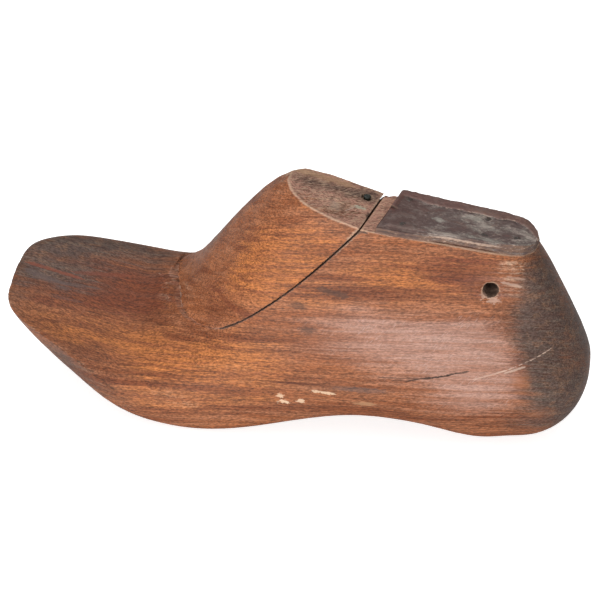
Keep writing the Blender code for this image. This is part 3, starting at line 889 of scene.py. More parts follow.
class WornWood(Finish):
    """Old oiled hardwood with grain, stains, wear, dirt, painted shade and marks, and a painted sheen."""

    rough_size: Point = (2.2, 1.0, 1.0)
    blotches = Layer((5.5, 4.2, 4.2), 4.0, 0.46, 0.64, 0.68)
    scuff_turn: Point = (0, 0, math.radians(-42))
    scuff_spacing: Point = (3.6, 0.8, 4.0)
    dirt_and_shade_size: Point = (2, 1, 1)
    brightness = 1.01

    def __init__(self, name: str, effects: Effects, colours: WoodColours, marks: tuple[Mark, ...],
                 hatching: Hatching) -> None:
        """Build the material.

        Args:
            name: its name.
            effects: the shared effects.
            colours: its colours.
            marks: its small marks.
            hatching: its scraper marks.
        """
        super().__init__(name)
        graph, place = self.graph, self.place
        self.figure = effects.figure.place(graph, Place=place)
        self.streak = self.figure["Streaks"] - 0.5
        self.rough = graph.noise(graph.scaled(place, self.rough_size), 3.0, 0.65) - 0.5
        self.sawn, self.rose_and_sheen = graph.attribute("sawn"), graph.attribute("rose_and_sheen")
        scratches = effects.tools.place(graph, Place=place, Turn=hatching.turn, Spacing=hatching.spacing)
        scratches = scratches["Scratches"] * (graph.attribute(hatching.where) + hatching.rest)
        scuffs = effects.tools.place(graph, Place=place, Turn=self.scuff_turn, Spacing=self.scuff_spacing)
        wear = self.ragged_mask(effects, "wear")
        dirt_and_shade = self.ragged_mask(effects, "dirt_and_shade", Size=self.dirt_and_shade_size)
        fibre, grit = self.figure["Fibre"], self.figure["Grit"]
        colour = graph.layered(
            self.grained(self.stained(colours), colours),
            (scratches, hatching.strength, colours.rose_and_sheen),
            (scuffs["Scuffs"] * self.sawn, 0.6, colours.bare),
            (wear, 0.6, colours.bare),
            # Dirt and painted shade: darker in hollows and along the torn feather, with painted shade in the
            # kerf.
            (dirt_and_shade, 0.8, colours.dirt_and_shade))
        height = fibre * 0.10 + grit * 0.05
        colour, height = self.marked(effects, marks, colour, height, self.rough, self.figure["Streaks"])
        height = height - self.figure["Lines"] * 0.04 - scratches * 0.05
        roughness = 0.40 + fibre * 0.22 + graph.math("MAXIMUM", dirt_and_shade, self.sawn) * 0.25
        self.connect(colour, roughness, height, Specular_IOR_Level=0.18, Coat_Roughness=0.32)
        graph.feed(self.shader.inputs["Coat Weight"], 0.02 + self.rose_and_sheen * 0.16)

    def broken(self, stain: str, along_grain: float, ragged: float) -> Signal:
        """A stain's amount with an outline that follows the grain.

        Args:
            stain: its name.
            along_grain: how far the streaks move its outline.
            ragged: how far the finer noise does.

        Returns:
            The amount, between 0 and 1.
        """
        amount = self.graph.attribute(stain)
        uneven = (self.streak * along_grain + self.rough * ragged) * self.graph.step(amount, 0.0, 0.3)
        return self.graph.step(amount + uneven, 0.12, 0.88)

    def stained(self, colours: WoodColours) -> Signal:
        """The figure's colour under all its stains, from amber to bare wood, with the painted sheen highlight
        among them.
        """
        graph, streaks, sawn = self.graph, self.figure["Streaks"], self.sawn
        blotch = self.blotches.mask(graph, self.place)
        ragged, even = 0.42 - sawn * 0.34, 0.56 + sawn * 0.30
        smoke = self.broken("smoke", 0.7, 0.6) * ragged + graph.attribute("smoke") * even
        return graph.layered(
            graph.mix(self.figure["Broad"], colours.deep, colours.middle),
            (streaks, 0.5, colours.light),
            (sawn, 0.72, colours.sawn),
            (self.broken("amber", 0.5, 0.3), 1.0, graph.mix(streaks, colours.middle, colours.amber)),
            (self.broken("russet", 0.9, 0.4), 0.85, colours.russet),
            # The rosy tone with a painted sheen highlight, where its stored amount is high.
            (graph.step(self.rose_and_sheen + self.streak * 0.25, 0.0, 1.15), 0.9,
             graph.mix(0.42 + streaks * 0.4, colours.middle, colours.rose_and_sheen)),
            (smoke * (1.0 - blotch * 0.16), 1.0, graph.mix(blotch, colours.smoke, colours.umber)),
            (smoke * self.figure["Ash"], 0.45, colours.ash),
            (self.broken("bare", 0.6, 1.3), 0.8, colours.bare))

    def grained(self, colour: Signal, colours: WoodColours) -> Signal:
        """A colour with the fine light and shade of its fibres, lines and pores."""
        # Fine grain is calmed under the rosy tone and its painted sheen.
        calm = 1.0 - self.rose_and_sheen * 0.5
        shade = (self.figure["Fibre"] - 0.5) * 0.56 + (self.figure["Grit"] - 0.5) * 0.7
        shade = self.brightness + shade * calm + self.rough * (0.5 + self.sawn * 0.6)
        thin = ((self.figure[part] * calm, 0.45, colours.line) for part in ("Lines", "Pores"))
        return self.graph.layered(self.graph.shaded(colour, shade), *thin)


class OldLeather(Finish):
    """Dark dry leather: scuffed top, frayed pale sides and a reddish older layer."""

    dark: Colour = (0.085, 0.050, 0.045)
    scuffed: Colour = (0.36, 0.295, 0.255)
    green: Colour = (0.265, 0.235, 0.200)
    maroon: Colour = (0.078, 0.036, 0.030)
    red: Colour = (0.125, 0.055, 0.044)
    side: Colour = (0.150, 0.083, 0.055)
    pale: Colour = (0.42, 0.30, 0.23)
    black: Colour = (0.022, 0.016, 0.014)
    front_end: tuple[float, float] = (68.0, 54.0)
    rear_end: tuple[float, float] = (68.0, 88.0)
    line_turn: Point = (0, 0, math.radians(-52))
    line_spacing: Point = (6.0, 0.7, 5.0)
    rough_size: Point = (1.7, 1.0, 1.0)
    wear_size: Point = (2, 0.8, 0.8)

    def __init__(self, name: str, effects: Effects, marks: tuple[Mark, ...]) -> None:
        """Build the material.

        Args:
            name: its name.
            effects: the shared effects.
            marks: its creases and scratches.
        """
        super().__init__(name)
        graph = self.graph
        rough = graph.noise(graph.scaled(self.place, self.rough_size), 4.0, 0.7)
        uneven = rough - 0.5
        side = graph.attribute("side")
        colour = graph.layered(
            self.scuffed_top(effects, uneven),
            (side, 1.0, self.frayed_wall(uneven)),
            (self.ragged_mask(effects, "wear", Size=self.wear_size), 0.65, self.pale),
            # Darker in the leather's hollows.
            (graph.attribute("dirt_and_shade"), 0.6, self.black))
        colour, height = self.marked(effects, marks, colour, rough * 0.36, uneven)
        colour = graph.shaded(colour, 0.55 + rough * 0.9)
        roughness = 0.40 + graph.math("MAXIMUM", side, rough) * 0.35
        self.connect(colour, roughness, height, Specular_IOR_Level=0.45)

    def scuffed_top(self, effects: Effects, uneven: Signal) -> Signal:
        """The top's colour: maroon at the front, scuffed and lined behind, with its older reddish layer."""
        graph, place = self.graph, self.place
        along = graph.parts(place)[0]
        front = graph.step(along + uneven * 12.0, *self.front_end)
        strip = graph.attribute("strip")
        cloud = graph.noise(graph.scaled(place, (10, 5, 5)), 6.0, 0.75)
        tint = graph.noise(graph.scaled(place, (8, 4, 4)), 3.0)
        worn = graph.mix(graph.step(tint, 0.40, 0.55), self.scuffed, self.green)
        scuffs = graph.step(cloud, 0.38, 0.60) * (1.0 - front * 0.8)
        flecks = graph.step(cloud + uneven * 0.6, 0.47, 0.62)
        lines = effects.tools.place(graph, Place=place, Turn=self.line_turn, Spacing=self.line_spacing)
        return graph.layered(
            graph.mix(front, self.dark, self.maroon),
            (scuffs * (0.45 + flecks * 0.55), 1.0, worn),
            (lines["Scratches"] * (1.0 - front), 0.5, self.pale),
            (graph.step(tint, 0.54, 0.68), 0.45, self.red),
            (strip * (0.8 + uneven), 1.0, self.red),
            (graph.step(strip + uneven, 0.9, 1.2) * graph.step(along, *self.rear_end), 0.7, self.side))

    def frayed_wall(self, uneven: Signal) -> Signal:
        """The cut sides' colour, with pale fibres between dark layers."""
        graph = self.graph
        layer = graph.noise(graph.scaled(self.place, (5.0, 5.0, 1.3)), 5.0, 0.72)
        wall = graph.mix(graph.step(layer, 0.34, 0.56), self.dark, self.side)
        return graph.mix(graph.step(layer + uneven * 0.8, 0.60, 0.78), wall, self.pale)


class OldMetal(Finish):
    """Tarnished or rusted metal, with bare spots where it is rubbed."""

    crust_spots = Layer((0.8, 0.8, 0.8), 4.0, 0.45, 0.62, 0.65)
    rubbed_spots = Layer((1.1, 1.1, 1.1), 3.0, 0.60, 0.70)
    grit_size: Point = (0.25, 0.25, 0.25)

    def __init__(self, name: str, base: Colour, crust: Colour, bare: Colour, metal: float) -> None:
        """Build the material.

        Args:
            name: its name.
            base: the dull metal's colour.
            crust: the tarnish or rust's colour.
            bare: the rubbed metal's colour.
            metal: how metallic the dull metal is.
        """
        super().__init__(name)
        graph, place = self.graph, self.place
        crusted = self.crust_spots.mask(graph, place)
        colour = graph.mix(self.rubbed_spots.mask(graph, place), graph.mix(crusted, base, crust), bare)
        grit = graph.noise(graph.scaled(place, self.grit_size), 3.0, 0.6)
        self.connect(colour, 0.35 + crusted * 0.4, grit * 0.05 + crusted * 0.04)
        graph.feed(self.shader.inputs["Metallic"], (1.0 - crusted * 0.8) * metal)


class DowelWood(Finish):
    """Pale straight-grained hardwood, darkened by handling."""

    pale: Colour = (0.42, 0.27, 0.14)
    dark: Colour = (0.22, 0.12, 0.06)
    handled: Colour = (0.10, 0.055, 0.03)
    handled_spots = Layer((6, 6, 9), 3.0, 0.45, 0.65)

    def __init__(self, name: str, effects: Effects) -> None:
        """Build the material.

        Args:
            name: its name.
            effects: the shared effects.
        """
        super().__init__(name)
        graph = self.graph
        upright = graph.turned(self.place, (0, math.pi / 2, 0))
        figure = effects.figure.place(graph, Place=upright, Wander=1.0)
        colour = graph.layered(
            graph.mix(figure["Streaks"], self.dark, self.pale),
            (figure["Lines"], 0.5, self.dark),
            (self.handled_spots.mask(graph, self.place), 0.45, self.handled))
        height = figure["Fibre"] * 0.08 - figure["Pores"] * 0.06
        self.connect(colour, 0.5, height, Specular_IOR_Level=0.3)


# The pieces


SCOOP_CUT = np.array([
    (-67.5, 46.0), (-56.5, 46.0), (-47.5, 46.1), (-42.1, 46.3), (-39.6, 46.6), (-37.1, 46.9), (-34.1, 47.5),
    (-31.6, 48.0), (-29.0, 48.8), (-26.1, 49.8), (-23.1, 51.3), (-20.7, 52.4), (-15.7, 55.6), (-13.0, 57.5),
    (-10.3, 59.5), (-7.7, 61.5), (-5.2, 63.4), (-2.0, 66.1), (3.1, 70.4), (6.1, 73.1), (8.6, 75.4),
    (16.1, 82.7), (22.7, 89.8), (26.4, 93.9), (30.0, 98.1), (32.5, 100.9), (35.4, 104.4), (38.1, 107.8),
])
SCOOP_SKEW = math.tan(math.radians(12))
SCOOP_SLOPES = np.diff(SCOOP_CUT[:, 1]) / np.diff(SCOOP_CUT[:, 0])


def above_cut(points: np.ndarray) -> np.ndarray:
    """How high each point stands over the scoop cut, square to it.

    Args:
        points: rows of x, y, z in millimetres.

    Returns:
        One height per point, less than 0 under the cut.
    """
    run = points[:, 0] - points[:, 1] * SCOOP_SKEW
    height = np.interp(run, SCOOP_CUT[:, 0], SCOOP_CUT[:, 1])
    slope = np.interp(run, SCOOP_CUT[1:, 0], SCOOP_SLOPES)
    return (points[:, 2] - height) / np.hypot(1, slope)


def cut_normals(points: np.ndarray) -> np.ndarray:
    """The scoop cut's upward direction under each point.

    Args:
        points: rows of x, y, z in millimetres.

    Returns:
        One unit vector per point.
    """
    run = points[:, 0] - points[:, 1] * SCOOP_SKEW
    slope = np.interp(run, SCOOP_CUT[1:, 0], SCOOP_SLOPES)
    normals = np.stack([-slope, slope * SCOOP_SKEW, np.ones(len(run))], 1)
    return normals / np.linalg.norm(normals, axis=1, keepdims=True)


@dataclass(frozen=True)
class TornFeather:
    """The ragged line where the block's thin front end has broken away, as (x, y) in millimetres."""

    line: tuple[tuple[float, float], ...] = (
        (-40, 41), (-50, 40), (-57.5, 36), (-60, 31), (-60.6, 26), (-60, 20.5), (-58.6, 15.5), (-57.4, 11),
        (-55.6, 6), (-53.9, 1), (-52.4, -4), (-50.4, -9), (-47.8, -13.5), (-44.6, -17.4), (-40.5, -21),
        (-37, -24.2), (-34, -28),
    )
    spacing: float = 0.7
    raggedness: float = 0.7
    height: float = 50.0
    band: float = 25.0
    far_off: float = 99.0

    def points(self) -> np.ndarray:
        """The torn line as closely spaced (x, y) points."""
        corners = np.array(self.line, float)
        run = np.concatenate([[0], np.cumsum(np.linalg.norm(np.diff(corners, axis=0), axis=1))])
        along = np.arange(0, run[-1], self.spacing)
        line = np.stack([np.interp(along, run, corners[:, k]) for k in range(2)], 1)
        still = np.zeros(len(line))
        sample = np.stack([still, line[:, 1], still], 1)
        ragged = noise(sample, (1, 2.6, 1), 3, 2) + 0.7 * noise(sample, (1, 0.9, 1), 4)
        line[:, 0] += self.raggedness * ragged
        return line

    def distance(self, points: np.ndarray) -> np.ndarray:
        """Distance in plan from each point to the torn line.

        Args:
            points: rows of x, y, z in millimetres.

        Returns:
            One distance per point.
        """
        line = self.points()
        line = np.column_stack([line, np.zeros(len(line))])
        flat = points.copy()
        flat[:, 2] = 0
        near = np.abs(points[:, 2] - self.height) < self.band
        out = np.full(len(points), self.far_off)
        out[near] = distance_to(flat[near], line)
        return out


@dataclass(frozen=True)
class Sliver:
    """A torn wood fibre lying along the grain, in millimetres and degrees."""

    at: Point
    length: float
    thickness: float
    turn: float
    tilt: float

    def make(self) -> bpy.types.Object:
        """Model the fibre, whose free end rises by its tilt, settled at the origin."""
        bpy.ops.object.select_all(action="DESELECT")
        bpy.ops.mesh.primitive_cone_add(
            vertices=6, radius1=self.thickness / 2 * MM, radius2=0.25 * self.thickness * MM,
            depth=self.length * MM, location=Vector(self.at) * MM,
            rotation=(0, -math.radians(90 - self.tilt), math.radians(self.turn)))
        fibre = bpy.context.active_object
        fibre.scale.x = 0.8
        settle(fibre)
        return fibre


def hand_over(piece: bpy.types.Object, finish: Finish, node: str, body: str) -> None:
    """Dress a piece, hide the node that it replaces and hang it on the body that it rides on.

    Args:
        piece: the finished piece.
        finish: its material.
        node: the node that it replaces.
        body: the body that it rides on.
    """
    finish.dress(piece)
    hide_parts(node)
    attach(piece, body)
    log.info("%s: %d vertices", piece.name, len(piece.data.vertices))


@dataclass
class CarvedWood:
    """What the body and the block share: how a CAD copy turns into worn wood."""

    node: str
    piece_name: str
    rides_on: str
    slot: str
    voxel: float
    faces: int
    dents: tuple[Dent, ...] = ()
    patches: tuple[Patch, ...] = ()
    fibres: tuple[Sliver, ...] = ()
    top: Point = (0.0, 0.0, 0.0)
    top_fall: float = 0.0
    crisp_angle: float = math.radians(32)
    crisp_spacing: float = 0.4
    round_over: tuple[float, float] = (0.3, 2.4)
    # How far the painted kerf shade reaches from the crisp edges.
    kerf_shade_reach: tuple[float, float] = (4.0, 1.5)
    off_feather: tuple[float, float] = (4.0, 8.0)
    tear: TornFeather = field(default_factory=TornFeather)

    def make(self, finish: Finish) -> None:
        """Build the piece and dress it."""
        piece = copy_of_node(self.node, self.piece_name)
        self.trim(piece)
        relief, crisp = self.relief_of(join([piece, *(fibre.make() for fibre in self.fibres)]))
        self.roughen(relief)
        self.wear_down(relief)
        relief = self.thin(relief)
        self.paint(relief, crisp)
        hand_over(relief.piece, finish, self.node, self.rides_on)

    def trim(self, piece: bpy.types.Object) -> None:
        """Cut away what has broken off the merged copy."""

    def wear_down(self, relief: Relief) -> None:
        """Shape the places where the surface is worn."""
        raise NotImplementedError

    def paint(self, relief: Relief, crisp: np.ndarray) -> None:
        """Store wear, dirt and painted shade, sawn faces and stains for the material.

        Args:
            relief: the thinned surface.
            crisp: points along the merged copy's crisp edges.
        """
        raise NotImplementedError

    def relief_of(self, piece: bpy.types.Object) -> tuple[Relief, np.ndarray]:
        """Turn a copy into a fine even mesh and smooth its flats but not its edges.

        Args:
            piece: the merged copy.

        Returns:
            The surface to shape, and the points along its crisp edges.
        """
        crisp = crisp_edge_points(piece, self.crisp_angle, self.crisp_spacing)
        remesh(piece, self.voxel)
        relief = Relief(piece)
        share = 0.5 * ramp(distance_to(relief.points, crisp), *self.round_over)
        relief.relax(50, share)
        relief.relax(4, 0.5)
        return relief, crisp

    def over_top(self, points: np.ndarray) -> np.ndarray:
        """How high each point stands over the sawn top, in millimetres."""
        return points[:, 2] - (self.top[2] - self.top_fall * (points[:, 0] - self.top[0]))

    def kerf_shade_and_grime(self, on_cut: np.ndarray, edge: np.ndarray, near: np.ndarray) -> np.ndarray:
        """Painted shade in the kerf, with grime, on the cut along its edges, but not under the torn feather."""
        return on_cut * ramp(edge, *self.kerf_shade_reach) * ramp(near, *self.off_feather)

    def roughen(self, relief: Relief) -> None:
        """Give the surface its hand-worked unevenness and press the dents in."""
        points = relief.points
        lift = 0.20 * noise(points, (34, 15, 15), 11, 2) + 0.05 * noise(points, (9, 5, 5), 12, 2)
        lift += 0.03 * noise(points, (14, 1.5, 1.5), 13, 2)
        for dent in self.dents:
            lift -= dent.depth * dent.share(points)
        relief.lift(lift)

    def thin(self, relief: Relief) -> Relief:
        """Bring the mesh under its number of triangles.

        Args:
            relief: the shaped surface.

        Returns:
            The thinned surface.
        """
        relief.write()
        thin_out(relief.piece, self.faces)
        smooth_shaded(relief.piece)
        return Relief(relief.piece)


@dataclass
class LastBody(CarvedWood):
    """The last's toe, sole, sides and heel in one piece of worn wood."""

    node: str = "last_body"
    piece_name: str = "worn_last_body"
    rides_on: str = "body"
    slot: str = "body_wood"
    voxel: float = 0.6
    faces: int = 194000
    hole: Point = (93.0, 0.0, 82.5)
    hole_radius: float = 3.2
    hole_chip: tuple[float, float, float] = (0.9, 2.2, 11.0)
    hole_inside: float = 0.4
    valley_depth: float = 0.22
    top: Point = (43.5, 0.0, 107.5)
    top_fall: float = 0.147
    cut_skin: float = 0.35
    top_skin: float = 0.45
    toe: tuple[float, float] = (-52.0, -74.0)
    toe_rise: tuple[float, float] = (7.0, 12.0)
    ridge: tuple[float, float] = (0.012, 0.05)
    fibres: tuple[Sliver, ...] = (
        Sliver((-66, 17.6, 45.6), 9, 1.3, 8, 2), Sliver((-64, 14.2, 45.3), 7, 1.2, -6, 3),
        Sliver((-58.5, 1.2, 45.0), 6, 1.2, 5, 4), Sliver((-54.5, -7.4, 43.9), 6, 1.1, -12, 4),
        Sliver((-51.6, -11.6, 42.8), 5, 1.0, 10, 6),
    )

    def wear_down(self, relief: Relief) -> None:
        """Chip the cord hole, then roughen the valley under the block's feather edge."""
        self.chip_hole(relief)
        self.tear_front(relief)

    def from_hole(self, points: np.ndarray) -> np.ndarray:
        """Distance from the cord hole's wall in millimetres, less than 0 inside the hole."""
        return np.hypot(points[:, 0] - self.hole[0], points[:, 2] - self.hole[2]) - self.hole_radius

    def chip_hole(self, relief: Relief) -> None:
        """Break the rim of the cord hole on both sides."""
        depth, reach, mouth = self.hole_chip
        away = self.from_hole(relief.points)
        rim = ramp(np.maximum(away, 0), reach, 0.0) * (away > -0.5) * (np.abs(relief.points[:, 1]) > mouth)
        rough = 0.5 + 0.5 * noise(relief.points, (2.2, 30, 1.6), 21, 2)
        relief.lift(-depth * rim * rough)

    def tear_front(self, relief: Relief) -> None:
        """Roughen the valley where the block's feather edge meets the toe."""
        near = self.tear.distance(relief.points)
        band = ramp(near, 4.5, 0.5) * (above_cut(relief.points) > -6)
        rough = noise(relief.points, (3.5, 0.8, 1.5), 23, 2)
        relief.lift(band * (0.28 * rough - self.valley_depth))

    def paint(self, relief: Relief, crisp: np.ndarray) -> None:
        """Store wear, dirt and painted shade, sawn faces, and stains with a painted sheen, for the material."""
        points = relief.points
        over_top = self.over_top(points)
        on_cut = (np.abs(above_cut(points)) < self.cut_skin) & (points[:, 0] > -64) & (over_top < -0.8)
        on_top = (np.abs(over_top) < self.top_skin) & (points[:, 0] > 30)
        from_hole = self.from_hole(points)
        in_hole = from_hole < self.hole_inside
        edge = distance_to(points, crisp)
        near = self.tear.distance(points)
        bare_cut = on_cut * (1 - 0.75 * ramp(near, 7, 2))
        relief.paint("sawn", np.maximum(bare_cut, on_top | in_hole))
        full = relief.fullness(10)
        rubbed = ramp(edge, 1.6, 0.1) * (points[:, 2] > 96) + 0.5 * ramp(edge, 1.2, 0.1) * (points[:, 0] > 60)
        hole_rim = 0.62 * ramp(np.maximum(from_hole, 0), 2.2, 0.2) * (np.abs(points[:, 1]) > 10)
        at_toe = ramp(points[:, 0], *self.toe) * ramp(points[:, 2], *self.toe_rise)
        toe_ridge = ramp(full, *self.ridge) * at_toe
        chipped = 0.30 * toe_ridge * ramp(noise(points, (3, 2, 2), 25, 2), 0.0, 0.3)
        wear = 0.5 * rubbed + 0.25 * ramp(full, 0.08, 0.3) + hole_rim + chipped
        relief.paint("wear", np.clip(wear, 0, 1))
        up = relief.normals()[:, 2]
        toe_rim = toe_ridge * ramp(np.abs(up - 0.45), 0.45, 0.2)
        patchy = ramp(noise(points, (7, 4, 4), 24, 2), -0.3, 0.4)
        # Darker in hollows, along the torn feather, inside the cord hole and on the toe's rim, and painted shade
        # in the kerf along the cut's edges.
        dirt_and_shade = 0.7 * ramp(full, -0.06, -0.3) + 0.45 * ramp(near, 2.0, 0.2) * patchy
        dirt_and_shade += 0.9 * in_hole + 0.5 * toe_rim + self.kerf_shade_and_grime(on_cut, edge, near)
        relief.paint("dirt_and_shade", np.clip(dirt_and_shade, 0, 1))
        # More smoke on the toe where its faces turn sideways and down, so it is darker towards the sole.
        paint_stains(relief, self.patches, 0.28 * at_toe * ramp(up, 0.45, 0.0))


@dataclass
class InstepBlock(CarvedWood):
    """The loose block over the instep, with its torn feather edge and dented sawn top."""

    node: str = "instep_block"
    piece_name: str = "worn_instep_block"
    rides_on: str = "block"
    slot: str = "block_wood"
    voxel: float = 0.42
    faces: int = 150000
    top: Point = (0.5, 0.0, 118.0)
    top_fall: float = 0.26
    top_skin: tuple[float, float] = (1.0, 0.4)
    cut_skin: float = 1.25
    settled: float = 0.75
    kerf: tuple[float, float] = (0.12, 0.6)
    cad_kerf: tuple[float, float] = (0.35, 0.90)
    cutter_front: float = -110.0
    cutter_foot: float = 30.0
    cutter_height: float = 60.0
    fibres: tuple[Sliver, ...] = (
        Sliver((-56.2, 9.2, 47.5), 5, 1.0, 10, -6), Sliver((-52.0, -1.5, 47.2), 5, 1.0, -8, -8),
        Sliver((-48.6, -9.0, 47.1), 4.5, 1.0, 14, -8),
    )

    def wear_down(self, relief: Relief) -> None:
        """Dent the sawn top, then wear and settle the torn front."""
        self.wear_top(relief)
        self.wear_front(relief)

    def trim(self, piece: bpy.types.Object) -> None:
        """Cut the thin front end away along the torn line."""
        bpy.ops.object.select_all(action="DESELECT")
        line = self.tear.points()
        bpy.ops.mesh.primitive_grid_add(x_subdivisions=1, y_subdivisions=len(line) - 1, size=2 * MM)
        cutter = bpy.context.active_object
        cutter.name = "feather_cutter"
        rows = sorted(cutter.data.vertices, key=lambda v: (-round(v.co.y / MM, 4), v.co.x))
        for i, (x, y) in enumerate(line):
            rows[2 * i].co = Vector((self.cutter_front, y, self.cutter_foot)) * MM
            rows[2 * i + 1].co = Vector((x, y, self.cutter_foot)) * MM
        height = self.cutter_height * MM
        with editing():
            bpy.ops.mesh.select_all(action="SELECT")
            bpy.ops.mesh.extrude_region_move(TRANSFORM_OT_translate={"value": (0, 0, height)})
            bpy.ops.mesh.select_all(action="SELECT")
            bpy.ops.mesh.normals_make_consistent(inside=False)
        settle(cutter)
        use_modifier(piece, "BOOLEAN", operation="DIFFERENCE", object=cutter, solver="EXACT")
        bpy.data.objects.remove(cutter, do_unlink=True)

    def on_top(self, points: np.ndarray) -> np.ndarray:
        """1 on the block's sawn top, 0 off it."""
        return ramp(np.abs(self.over_top(points)), *self.top_skin)

    def wear_top(self, relief: Relief) -> None:
        """Dent and scratch the sawn top."""
        on_top = self.on_top(relief.points)
        rough = 0.12 * noise(relief.points, (5, 3, 40), 41, 3)
        rough += 0.10 * noise(relief.points, (1.3, 1.1, 40), 42, 2)
        relief.lift(on_top * (rough - 0.12))

    def wear_front(self, relief: Relief) -> None:
        """Wear the torn front down, fray it and let it rest on the body."""
        near = self.tear.distance(relief.points)
        over = above_cut(relief.points)
        relief.points[:, 2] -= ramp(over, 4.0, 1.0) * ramp(near, 12.0, 2.0) * self.settled
        over = above_cut(relief.points)
        run = ramp(relief.points[:, 0], -40, 35)
        gap, left = (front + (rear - front) * run for front, rear in (self.cad_kerf, self.kerf))
        closing = ramp(over, gap + 2.0, gap + 0.3) * (gap - left) * ramp(near, 2, 8)
        relief.points -= closing[:, None] * cut_normals(relief.points)
        front = ramp(near, 3.2, 0.0) * (above_cut(relief.points) > 0.5)
        fray = 0.25 * noise(relief.points, (3.5, 0.7, 1.2), 43, 2)
        relief.lift(front * (fray - 0.35))

    def paint(self, relief: Relief, crisp: np.ndarray) -> None:
        """Store wear, dirt and painted shade, sawn faces and stains for the material."""
        points = relief.points
        on_cut = (above_cut(points) < self.cut_skin) & (relief.normals()[:, 2] < 0)
        on_top = self.on_top(points)
        relief.paint("sawn", np.maximum(on_cut, on_top))
        edge = distance_to(points, crisp)
        full = relief.fullness(14)
        rim = ramp(edge, 1.9, 0.3) * ramp(points[:, 2], 100, 106)
        relief.paint("wear", np.clip(0.62 * rim + 0.25 * ramp(full, 0.06, 0.25), 0, 1))
        near = self.tear.distance(points)
        patchy = ramp(noise(points, (7, 4, 4), 44, 2), -0.3, 0.4)
        # Darker in hollows and along the torn feather, and painted shade in the kerf along the cut's edges.
        dirt_and_shade = 0.7 * ramp(full, -0.05, -0.25) + 0.4 * ramp(near, 1.4, 0.2) * patchy
        dirt_and_shade += self.kerf_shade_and_grime(on_cut, edge, near)
        relief.paint("dirt_and_shade", np.clip(dirt_and_shade, 0, 1))
        paint_stains(relief, self.patches)


HEEL_TOP = np.array([43.5, 0.0, 107.4])
HEEL_BACK = np.array([0.989367, 0.0, -0.145438])
HEEL_UP = np.array([0.145438, 0.0, 0.989367])
HEEL_AXES = np.stack([HEEL_BACK, [0, 1, 0], HEEL_UP])


